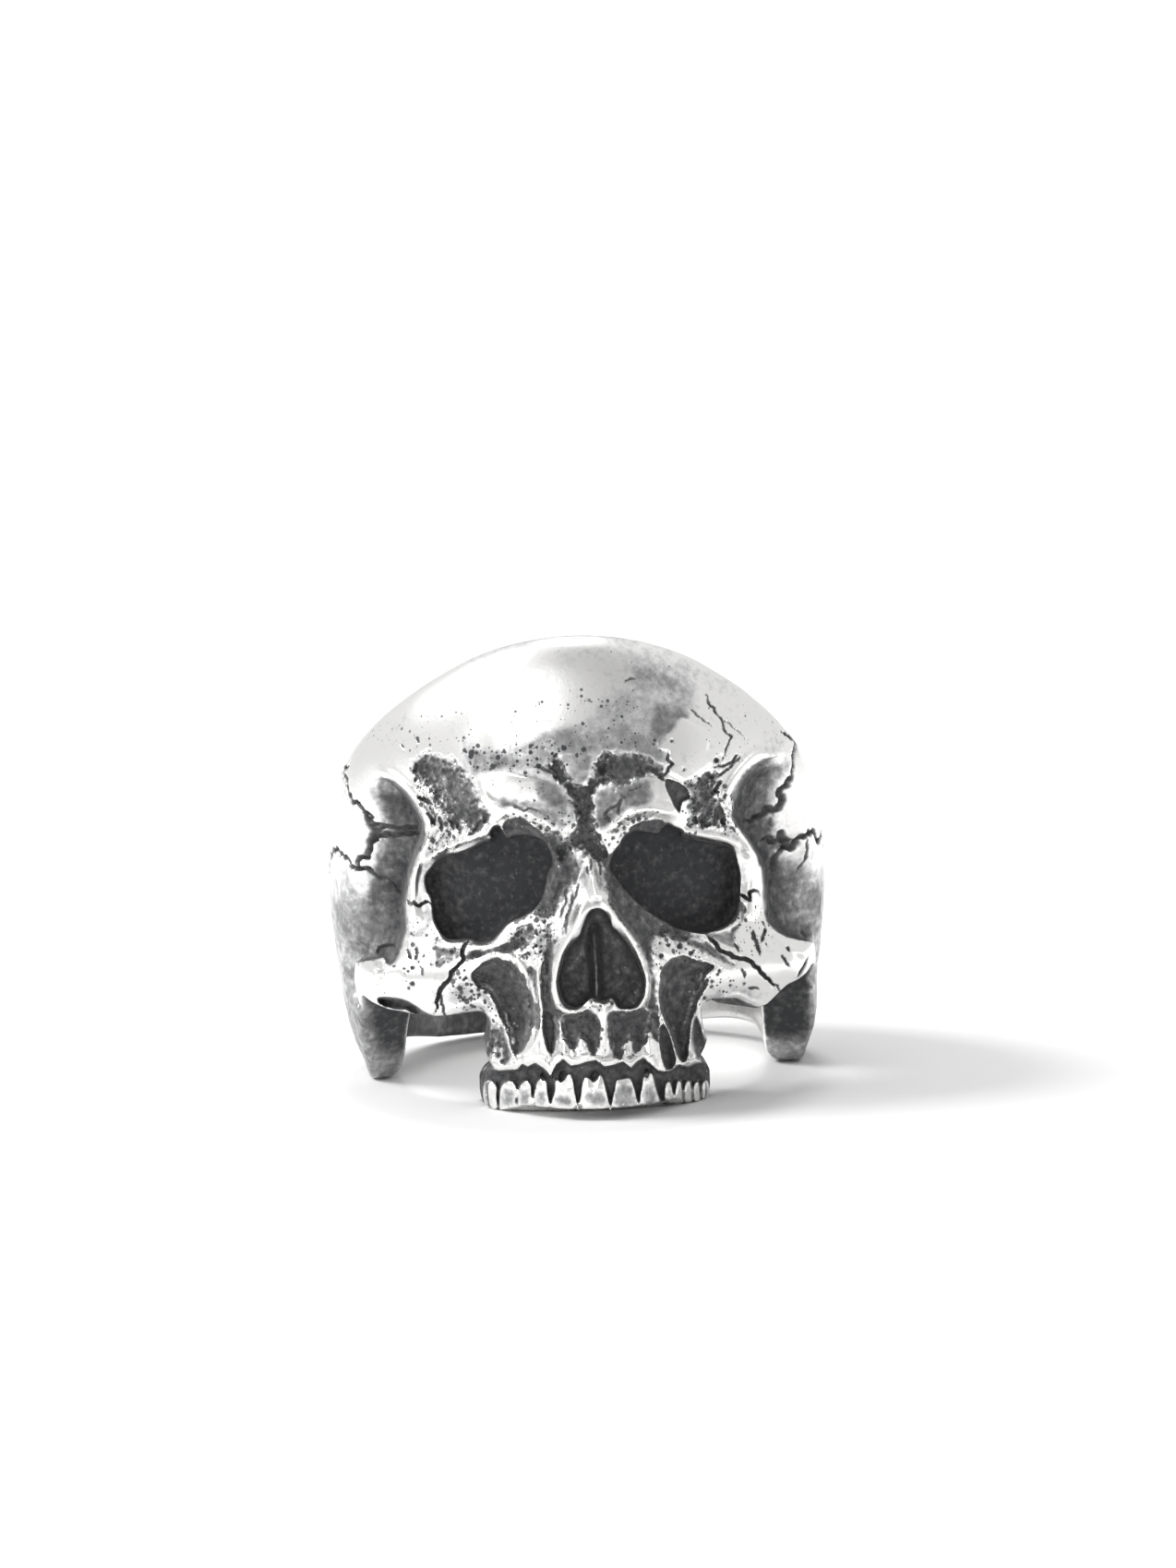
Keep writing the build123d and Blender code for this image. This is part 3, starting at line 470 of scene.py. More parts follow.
RIDGES = [
    # line, width, height mm, polish
    ([(632, 922), (637, 930), (640, 942), (643, 955), (646, 968), (647, 978)], 11, 0.46, 0.85),
    ([(632, 932), (629, 945), (624, 958)], 4, 0.10, 0.5),
    ([(641, 972), (632, 983), (625, 998), (618, 1012), (611, 1024), (605, 1038), (601, 1056), (601, 1074), (606, 1090), (615, 1096), (627, 1096), (638, 1089)], 10, 0.46, 1.0),
    ([(648, 972), (660, 982), (669, 996), (680, 1010), (689, 1024), (696, 1040), (701, 1058), (701, 1074), (697, 1086), (688, 1094), (676, 1095), (668, 1092)], 9.5, 0.46, 1.0),
    ([(639, 1087), (648, 1088), (656, 1089), (664, 1087)], 7, 0.26, 1.0),
    ([(653, 1086), (655, 1098), (654, 1112), (653, 1130), (653, 1146)], 8, 0.30, 0.95),
    # upper jaw, left
    ([(583, 1040), (582, 1056), (583, 1072), (586, 1090), (587, 1106), (583, 1122), (576, 1136), (568, 1148)], 5.5, 0.18, 0.75),
    ([(586, 1108), (588, 1124), (592, 1138), (598, 1150)], 4.5, 0.14, 0.55),
    ([(574, 1060), (578, 1075), (581, 1090)], 4, 0.12, 0.7),
    ([(520, 1040), (532, 1034), (545, 1034), (558, 1039), (568, 1050), (576, 1066)], 6, 0.18, 0.9),
    # edge of the gum
    ([(526, 1154), (540, 1156), (553, 1155), (562, 1153), (570, 1150), (580, 1148), (590, 1151), (597, 1158), (603, 1150), (611, 1144), (620, 1149), (630, 1149), (642, 1145), (652, 1150), (660, 1150), (672, 1147), (683, 1152), (690, 1147), (698, 1143), (706, 1149), (716, 1156)], 6, 0.16, 0.9),
    ([(733, 1152), (740, 1153), (748, 1151), (757, 1148), (766, 1147)], 5, 0.14, 0.9),
    # roots
    ([(612, 1126), (611, 1136), (612, 1144)], 9, 0.20, 0.85), ([(632, 1134), (634, 1142)], 9, 0.16, 0.85), ([(621, 1139), (622, 1145)], 6, 0.10, 0.7),
    ([(678, 1137), (679, 1145)], 8, 0.14, 0.45), ([(688, 1134), (690, 1143)], 5, 0.12, 0.4), ([(703, 1122), (704, 1134), (706, 1146)], 6, 0.18, 0.55),
    ([(557, 1122), (556, 1136), (556, 1150)], 5, 0.14, 0.8), ([(543, 1134), (545, 1150)], 5, 0.12, 0.7), ([(533, 1140), (534, 1152)], 6, 0.14, 0.8),
    # upper jaw, right
    ([(716, 1060), (714, 1074), (715, 1090), (719, 1104), (725, 1120), (730, 1136), (734, 1150)], 4.0, 0.18, 0.75),
    ([(757, 1090), (751, 1103), (748, 1118), (747, 1134), (749, 1147)], 4.5, 0.20, 0.95),
    ([(735, 1148), (741, 1150), (748, 1149)], 4, 0.12, 0.8),
    # lower rims of the sockets
    ([(470, 1010), (482, 1022), (500, 1025), (520, 1027), (536, 1025), (549, 1014), (563, 1003), (578, 996), (592, 985)], 8, 0.22, 0.95),
    ([(802, 985), (800, 997), (790, 1006), (776, 1010)], 6, 0.14, 0.7), ([(735, 1010), (750, 1016), (766, 1022)], 5, 0.08, 0.3),
    # outer rims
    ([(456, 930), (451, 944), (448, 958), (449, 975), (452, 992), (458, 1008)], 12, 0.22, 0.95),
    ([(806, 922), (813, 936), (816, 952), (815, 968), (813, 985), (811, 1000)], 12, 0.24, 0.95),
    # upper rims
    ([(455, 938), (465, 930), (478, 921), (495, 914), (512, 908), (528, 902), (537, 890)], 7, 0.24, 0.95), ([(500, 925), (486, 930), (474, 938), (466, 950)], 2.6, 0.06, 0.6),
    ([(737, 897), (746, 901), (762, 905), (780, 908), (796, 914), (804, 924)], 8, 0.24, 0.98),
    # brows
    ([(518, 850), (524, 862), (532, 872), (545, 879), (560, 880), (574, 884), (588, 892), (602, 900), (612, 908)], 11, 0.30, 0.95),
    ([(656, 905), (664, 896), (676, 886), (690, 879), (706, 877), (722, 880), (736, 885)], 11, 0.30, 0.95), ([(536, 890), (545, 884), (552, 884)], 5, 0.14, 0.8),
    # front edge of each temple
    ([(405, 838), (420, 838), (434, 848), (448, 862), (458, 878), (465, 896), (464, 912), (457, 926), (450, 942), (447, 960), (446, 982), (448, 1006), (443, 1020)], 8, 0.26, 1.0),
    ([(840, 820), (822, 817), (808, 828), (796, 843), (788, 858), (785, 874), (789, 888), (798, 901), (809, 914), (819, 929), (825, 945)], 8, 0.24, 1.0),
    # cheekbones
    ([(448, 1014), (444, 1030), (430, 1048), (412, 1050), (397, 1052)], 15, 0.20, 0.9), ([(836, 1006), (850, 1022), (866, 1030), (877, 1036)], 10, 0.18, 0.9),
    ([(482, 1090), (492, 1092), (505, 1088), (518, 1086), (530, 1092)], 7, 0.12, 0.8), ([(770, 1090), (785, 1082), (800, 1079), (815, 1086), (828, 1089)], 6, 0.10, 0.8),
]
SWELLINGS = [
    # x, y, half widths, height mm
    (545, 854, 30, 15, 0.34), (588, 876, 24, 18, 0.30), (682, 864, 28, 18, 0.34), (625, 832, 16, 17, 0.22), (715, 812, 26, 28, 0.12), (752, 812, 26, 32, 0.14),
    (590, 1012, 18, 16, 0.20), (727, 1030, 16, 13, 0.18), (495, 1068, 26, 22, 0.16), (800, 1062, 30, 22, 0.18), (403, 1057, 13, 17, 0.72), (434, 1062, 24, 17, 0.16), (870, 1030, 12, 10, 0.20),
    (520, 812, 14, 16, -0.16), (626, 806, 50, 12, -0.10), (860, 1046, 16, 18, 0.20), (452, 970, 8, 40, 0.10), (818, 965, 8, 44, 0.12), (640, 1120, 70, 36, 0.10),
]
PLATES = [
    # outline, height mm, edge
    ([(607, 819), (625, 817), (642, 819), (641, 830), (634, 842), (627, 851), (617, 842), (609, 830)], 0.08, 5.0),
    ([(712, 806), (717, 797), (727, 793), (735, 780), (742, 778), (760, 790), (768, 800), (766, 815), (770, 828), (756, 838), (745, 846), (735, 842), (724, 836), (722, 826), (726, 815), (716, 812)], 0.07, 4.5),
    ([(519, 846), (532, 840), (548, 838), (566, 842), (585, 846), (600, 852), (610, 862), (622, 876), (626, 892), (618, 904), (606, 898), (596, 888), (580, 878), (560, 872), (540, 870), (526, 864)], 0.10, 5.0),
    ([(648, 856), (655, 850), (664, 846), (680, 848), (695, 842), (710, 846), (712, 862), (706, 872), (690, 874), (674, 880), (662, 892), (652, 896), (645, 880), (644, 866)], 0.04, 5.0),
]
CRACKS = [
    # line, width, depth mm
    ([(509, 1018), (505, 1026), (502, 1034), (500, 1042), (494, 1049), (488, 1055), (484, 1062), (480, 1069), (476, 1075), (474, 1083), (472, 1091), (470, 1102)], 3.6, 0.34),
    ([(476, 1075), (478, 1084), (481, 1093), (485, 1102)], 1.8, 0.12),
    ([(440, 975), (445, 980), (448, 975), (453, 984), (457, 980), (462, 978), (469, 980)], 2.4, 0.20),
    ([(764, 1011), (770, 1020), (778, 1028), (788, 1034), (795, 1037), (803, 1041), (812, 1040), (818, 1045), (825, 1053), (830, 1060), (836, 1063), (841, 1070), (846, 1076)], 3.6, 0.32),
    ([(800, 970), (806, 971), (809, 974), (814, 976), (813, 968), (818, 965), (823, 970)], 2.6, 0.22),
    ([(764, 752), (770, 764), (777, 773), (781, 782), (786, 792), (791, 799), (788, 808), (785, 818), (778, 826)], 1.5, 0.08),
    ([(747, 767), (757, 777), (765, 783), (772, 790)], 1.1, 0.05, 0.6), ([(780, 776), (790, 784), (800, 792), (808, 800)], 1.0, 0.04, 0.5),
    ([(800, 818), (790, 826), (780, 830), (772, 833)], 2.2, 0.12), ([(802, 818), (792, 830), (780, 838), (774, 846)], 2.0, 0.10),
    ([(782, 846), (776, 852), (773, 858)], 3.0, 0.16), ([(787, 860), (784, 866)], 3.0, 0.16), ([(713, 843), (722, 836), (728, 829), (722, 822), (724, 812)], 2.6, 0.14),
    ([(720, 846), (714, 840), (706, 833), (698, 832)], 3.0, 0.14),
    ([(440, 1028), (443, 1034), (446, 1041)], 2.0, 0.10), ([(451, 1026), (453, 1034), (451, 1042)], 2.2, 0.10), ([(454, 1047), (456, 1053), (459, 1059)], 1.6, 0.07),
    ([(816, 1008), (817, 1016), (820, 1022), (823, 1029), (823, 1036)], 3.0, 0.14), ([(829, 1006), (828, 1014), (825, 1022)], 2.8, 0.12), ([(795, 1022), (799, 1027), (803, 1032)], 1.8, 0.08),
    ([(846, 1035), (851, 1040), (857, 1048)], 2.0, 0.09), ([(852, 1026), (855, 1031)], 2.4, 0.10), ([(810, 1071), (816, 1070), (823, 1072)], 2.0, 0.08), ([(803, 1050), (806, 1054), (807, 1060)], 2.4, 0.10),
    ([(556, 872), (565, 876), (580, 878), (590, 882)], 1.8, 0.06), ([(620, 868), (628, 880), (633, 893)], 2.4, 0.12), ([(640, 870), (634, 884), (634, 900)], 2.4, 0.12), ([(604, 846), (598, 838), (588, 832), (578, 830)], 2.6, 0.10), ([(645, 850), (652, 846), (656, 852)], 2.2, 0.08),
    ([(672, 866), (664, 873), (658, 880), (656, 888)], 2.6, 0.12), ([(674, 864), (672, 874), (670, 884)], 2.6, 0.12), ([(656, 884), (661, 892)], 2.2, 0.10), ([(680, 858), (690, 854), (700, 848)], 1.6, 0.06), ([(672, 860), (680, 866)], 1.8, 0.06),
    ([(605, 955), (603, 972), (598, 990)], 2.4, 0.10), ([(613, 962), (611, 980), (606, 1000)], 2.0, 0.10), ([(620, 968), (617, 985), (612, 1004), (614, 1014)], 2.0, 0.10), ([(627, 958), (622, 972), (618, 984)], 1.8, 0.08),
    ([(594, 1040), (594, 1060), (593, 1080)], 2.6, 0.16), ([(588, 1045), (588, 1065), (589, 1085)], 1.6, 0.08),
    ([(640, 930), (642, 938), (639, 946)], 1.8, 0.08), ([(648, 930), (652, 940), (650, 950)], 1.8, 0.08), ([(636, 938), (637, 948)], 1.6, 0.07),
    ([(452, 862), (462, 868), (470, 872)], 3.2, 0.14), ([(462, 880), (468, 886), (472, 894)], 2.6, 0.12), ([(476, 884), (480, 892), (478, 902)], 2.6, 0.12), ([(490, 890), (492, 900)], 2.4, 0.10), ([(500, 896), (497, 905)], 2.4, 0.10),
    ([(508, 905), (514, 900), (518, 895)], 3.0, 0.14), ([(483, 900), (488, 908)], 2.2, 0.10), ([(522, 893), (528, 888)], 2.4, 0.10), ([(450, 830), (452, 840), (450, 848)], 3.0, 0.12),
    ([(757, 888), (764, 893), (774, 893)], 3.2, 0.14), ([(752, 884), (756, 892)], 2.4, 0.10), ([(780, 888), (786, 894)], 2.4, 0.10), ([(744, 893), (750, 896)], 2.2, 0.08), ([(790, 897), (797, 903)], 2.0, 0.08),
    ([(676, 738), (682, 735), (689, 735)], 1.6, 0.05), ([(637, 758), (642, 760)], 1.4, 0.04), ([(452, 798), (454, 806)], 1.8, 0.06), ([(434, 806), (438, 811)], 2.0, 0.06),
]
PITS = [
    # x, y, radius, depth mm
    (447, 1024, 3, .14), (438, 1050, 1.8, .08), (447, 1049, 2.4, .12), (442, 1053, 1.8, .08), (447, 1066, 3, .14), (443, 1071, 2, .10), (427, 1047, 2, .08), (505, 1060, 2.2, .12), (511, 1067, 2.2, .12), (500, 1075, 2.2, .12),
    (511, 1074, 2.2, .12), (502, 1083, 2.2, .12), (509, 1082, 1.8, .10), (519, 1078, 2.2, .12), (525, 1084, 1.8, .10), (533, 1077, 2, .12), (527, 1075, 2, .12), (491, 1097, 1.6, .08), (494, 1086, 1.6, .08), (515, 1070, 1.6, .1),
    (521, 1071, 1.6, .1), (536, 1083, 1.6, .1), (540, 1090, 2, .12), (791, 1068, 1.8, .08), (806, 1066, 1.8, .08), (779, 1052, 2.2, .10), (763, 1082, 2.4, .12), (766, 1062, 2, .10), (771, 1064, 2, .10), (853, 1027, 2, .06),
    (595, 985, 2.2, .12), (586, 992, 1.8, .10), (590, 999, 2.4, .14), (584, 1003, 1.8, .10), (594, 1003, 1.8, .10), (587, 1008, 1.8, .10), (578, 1010, 1.6, .08), (582, 1013, 2, .10), (590, 1014, 2, .1), (581, 1025, 2, .12),
    (586, 1031, 2.4, .14), (580, 1033, 1.8, .10), (572, 1033, 2.4, .12), (577, 1038, 1.6, .1), (592, 1024, 1.6, .08), (566, 1036, 1.8, .1), (715, 1022, 2, .10), (724, 1024, 2.4, .14), (735, 1026, 2.2, .12), (748, 1033, 2.6, .14),
    (716, 1036, 3, .14), (729, 1017, 1.8, .10), (712, 1020, 1.6, .08), (734, 1030, 1.4, .08), (576, 808, 2.4, .10), (589, 810, 2, .08), (596, 803, 1.8, .08), (583, 817, 1.6, .06), (602, 819, 2, .08), (637, 798, 1.8, .06),
    (641, 799, 1.4, .05), (643, 790, 1.2, .04), (650, 779, 1.4, .05), (690, 781, 1.6, .06), (697, 787, 1.4, .05), (776, 824, 3.2, .16), (728, 803, 2.4, .10), (741, 834, 1.8, .07), (645, 700, 1.6, .05), (640, 706, 1.2, .03),
    (608, 748, 1.2, .03), (664, 776, 1.2, .04), (655, 762, 1.2, .03), (548, 884, 1.8, .08), (554, 890, 1.8, .08), (564, 886, 1.8, .08), (570, 884, 1.8, .08), (580, 888, 1.8, .08), (585, 896, 2, .1), (592, 900, 2.2, .10),
    (604, 903, 2.6, .12), (608, 910, 2, .10), (600, 893, 1.8, .08), (588, 885, 1.6, .08), (612, 912, 1.6, .08), (672, 893, 2, .10), (680, 888, 2, .10), (686, 890, 2.4, .12), (692, 886, 2, .10), (700, 888, 2, .10),
    (664, 908, 2, .10), (668, 901, 1.8, .10), (660, 915, 1.8, .08), (655, 922, 1.8, .08), (676, 897, 1.8, .08), (460, 1030, 1.6, .06), (468, 1020, 1.6, .06), (483, 1022, 1.6, .06), (446, 1012, 2, .08), (462, 1014, 1.8, .06),
    (455, 1010, 1.4, .05), (558, 853, 1.6, .05), (566, 850, 1.2, .04), (572, 854, 1.4, .05), (550, 852, 1.4, .04),
]
SPECKLES = [
    # zone, amount of fine pitting
    ([(555, 760), (640, 745), (700, 765), (716, 800), (700, 818), (640, 814), (560, 818), (545, 800)], 0.55),
    ([(600, 700), (740, 710), (760, 760), (700, 770), (600, 750)], 0.25), ([(505, 806), (545, 808), (600, 806), (640, 812), (604, 838), (545, 838), (512, 838)], 0.9),
    ([(650, 816), (715, 818), (722, 806), (700, 796), (650, 802)], 0.7), ([(395, 795), (430, 775), (500, 770), (512, 800), (470, 822), (430, 815)], 0.5),
    ([(446, 826), (470, 862), (482, 885), (505, 905), (470, 930), (452, 915), (462, 890), (450, 860)], 1.0), ([(740, 838), (780, 842), (800, 870), (806, 905), (760, 902), (740, 894)], 1.0),
    ([(560, 982), (602, 978), (600, 1040), (566, 1045), (552, 1022)], 1.0), ([(490, 1048), (515, 1058), (535, 1080), (545, 1106), (500, 1098), (485, 1078)], 1.0),
    ([(750, 1050), (778, 1046), (806, 1060), (790, 1082), (760, 1094), (748, 1080)], 0.8), ([(390, 1045), (450, 1036), (462, 1078), (420, 1084), (394, 1072)], 0.4),
    ([(596, 876), (625, 880), (622, 920), (598, 908), (545, 890), (548, 878)], 0.8), ([(650, 886), (682, 876), (714, 880), (712, 896), (676, 912), (655, 926)], 0.8),
    ([(770, 765), (845, 770), (860, 812), (800, 835), (765, 812)], 0.45), ([(436, 996), (472, 996), (505, 1026), (470, 1048), (440, 1042)], 0.7),
    ([(798, 980), (830, 980), (838, 1022), (812, 1040), (790, 1012)], 0.7), ([(520, 840), (560, 838), (604, 850), (592, 872), (530, 864)], 0.45),
    ([(706, 1012), (752, 1014), (760, 1040), (728, 1046), (710, 1060)], 0.9), ([(600, 1085), (700, 1088), (700, 1146), (606, 1146)], 0.6),
]
for row in TONES:
    face.tone(*row)
for row in SHELTERED:
    face.patch(*row)
for row in STREAKS:
    face.streaks(*row)
face.patch(GUM, 0.62, 3.0, 1.0, 0.02, 0.6, soft=False)
face.streaks([(522, 1159), (560, 1160), (592, 1158), (592, 1174), (556, 1172), (524, 1174)], 84, 4.5, 16, 0.12, 0.60, 5)
face.streaks([(716, 1160), (770, 1152), (772, 1170), (718, 1176)], 96, 4.5, 16, 0.10, 0.45, 5)
# notch between the arch's end and the temple's edge
face.patch([(409, 1033), (417, 1037), (420, 1043), (425, 1044), (430, 1038), (433, 1030), (424, 1024), (412, 1026)], 0.22, 4.0, 0.95, 0.0, 0.4)
# the underside of the cheekbone's end, behind its lip
face.patch([(410, 1082), (418, 1081), (430, 1082), (441, 1085), (451, 1091), (462, 1098), (470, 1101), (468, 1103), (452, 1099), (440, 1094), (428, 1093), (417, 1090), (411, 1086)], 0.62, 3.0, 1.0, 0.0, 0.3, 5)
for row in TEETH:
    face.tooth(*row)
for row in ([(640, 1166), (644, 1172), (648, 1166), (645, 1160)], [(606, 1166), (610, 1171), (614, 1164), (610, 1160)],
            [(586, 1166), (589, 1171), (592, 1165), (589, 1160)], [(698, 1164), (701, 1168), (703, 1162), (700, 1158)]):
    face.patch(row, 0.25, 2.5, 0.7, 0, 0.3)
for row in ([(600, 1190), (606, 1187), (616, 1189), (618, 1196), (606, 1197)], [(634, 1186), (646, 1182), (656, 1186), (656, 1196), (636, 1196)],
            [(667, 1179), (684, 1177), (687, 1197), (668, 1199)], [(583, 1184), (590, 1184), (592, 1194), (584, 1196)], [(545, 1182), (556, 1182), (556, 1196), (546, 1197)],
            [(565, 1182), (573, 1183), (573, 1196), (565, 1197)], [(699, 1176), (707, 1178), (711, 1194), (700, 1197)]):
    face.patch(row, 0.02, 7, 0.42, 0.0, 2.0)
for row in RIDGES:
    face.ridge(*row)
for row in SWELLINGS:
    face.swell(*row)
for outline, height, edge in PLATES:
    face.patch(outline, -height, edge, 0.0)
face.polish([(519, 846), (532, 840), (548, 838), (566, 842), (580, 846), (584, 856), (576, 866), (560, 866), (540, 864), (526, 860)], 5, 0.0, 2.0)
face.polish([(718, 800), (727, 793), (735, 780), (742, 778), (760, 790), (768, 800), (766, 815), (770, 828), (756, 838), (745, 846), (735, 842), (724, 836), (722, 826), (726, 815), (716, 812)], 4, 0.05, 1.5)
face.polish([(703, 846), (712, 850), (720, 862), (728, 874), (734, 884), (720, 880), (706, 874), (704, 862)], 5, 0.1, 2.0)
for row in CRACKS:
    face.crack(*row, wander=1.15)
for x, y, r, depth in PITS:
    if r >= 1.8:
        face.pit(x, y, r, depth)
for row in SPECKLES:
    face.speckle(*row)
face.settle()
face.socket = np.full(face.x.shape, 9.0, F4)      # mm to the nearest socket's edge, below 0 inside
for outline in (EYE_L, EYE_R, NOSE):
    p = smooth(outline, True, 4)
    w = face.window(p, 40)
    face.socket[w] = np.minimum(face.socket[w], face.to_outline(p, w) / PX_MM)


# ------------------------------------------------------------------ carving, round the sides
SEAMS = [
    # points of the face plane, then the rest as (bearing, height); width, depth mm
    ([(372, 832), (375, 845), (378, 857), (382, 868), (388, 872), (393, 880), (397, 888), (402, 893), (412, 897), (426, 899), (442, 897), (457, 894)], [(-74.5, 17.4), (-73.4, 17.0)], 3.8, 0.28),
    ([(388, 868), (393, 875), (398, 884), (401, 889)], [], 5.0, 0.24),
    ([(361, 922), (366, 922), (372, 926), (377, 931), (380, 940), (386, 940), (388, 933), (395, 929), (398, 920), (402, 913), (406, 907), (414, 903), (428, 905), (444, 903), (458, 900)], [(-92, 11.0), (-89, 11.5), (-86.5, 11.2), (-83.5, 12.0)], 4.4, 0.30),
    ([(386, 940), (398, 942), (403, 947), (412, 950), (420, 952), (425, 960), (432, 967), (438, 972)], [], 3.8, 0.24), ([(422, 953), (425, 960), (423, 967)], [], 5.5, 0.20),
    ([(860, 801), (860, 815), (858, 830), (858, 843), (852, 848), (848, 853), (846, 862), (843, 872), (838, 878), (832, 873), (828, 880), (822, 886), (812, 890), (803, 889)], [(59.5, 18.3)], 5.0, 0.30),
    ([(880, 900), (873, 903), (866, 908), (862, 918), (856, 915), (850, 916), (848, 908), (845, 903), (842, 912), (838, 915), (833, 905), (828, 910), (821, 913)], [(79, 11.6), (76.5, 12.4), (73.5, 12.1)], 5.0, 0.30),
    ([(860, 918), (850, 918), (842, 926), (838, 935), (835, 946)], [], 4.4, 0.24), ([(870, 908), (873, 922), (867, 937), (858, 947)], [], 2.2, 0.10), ([(397, 884), (402, 893), (406, 902), (398, 914)], [], 7.0, 0.16),
]

# ------------------------------------------------------------------ the solid, as a signed field
# Front edge of each temple's hollow on the face plane: (y, x).
TEMPLE_L = [(818, 330), (830, 372), (838, 405), (848, 430), (860, 442), (870, 449), (890, 459), (903, 461), (916, 457), (935, 449), (955, 443), (980, 440), (1008, 441), (1028, 434), (1036, 423), (1040, 405), (1044, 380), (1048, 330)]
TEMPLE_R = [(812, 900), (818, 845), (823, 824), (830, 813), (843, 803), (855, 796), (870, 793), (885, 793), (898, 800), (910, 808), (925, 818), (940, 824), (965, 826), (990, 827), (1000, 831), (1010, 841), (1015, 850), (1018, 862), (1021, 880), (1025, 920)]
# height: depth, bearing where the floor begins to rise, bearing where it is level with the wall
TEMPLE = {6.95: (0.0, 62, 76), 7.12: (0.75, 62, 76), 7.4: (1.15, 62, 77), 8.3: (1.45, 62, 77), 9.6: (1.5, 61, 75), 11.4: (1.35, 58, 69), 12.6: (1.1, 56, 65),
          13.6: (1.35, 54, 62), 15.5: (1.2, 52, 59.5), 16.4: (0.75, 51, 58), 17.2: (0.0, 50, 57)}
TEMPLE_ROWS = np.array([np.interp(ZZ, sorted(TEMPLE), [TEMPLE[k][i] for k in sorted(TEMPLE)]) for i in range(3)]).astype(F4)
JAW_SIDE = np.interp(ZZ, [-1, 0, 0.5, 1.1, 1.7, 2.2, 2.8, 3.6, 4.6, 6], [5.8, 5.86, 5.95, 5.95, 5.62, 5.62, 5.72, 5.52, 5.38, 5.3]).astype(F4)


def larger(a, b, k):
    """The larger of two fields, with the edge between them rounded."""
    h = np.maximum(k - np.abs(a - b), 0) / k
    return np.maximum(a, b) + h * h * k * 0.25


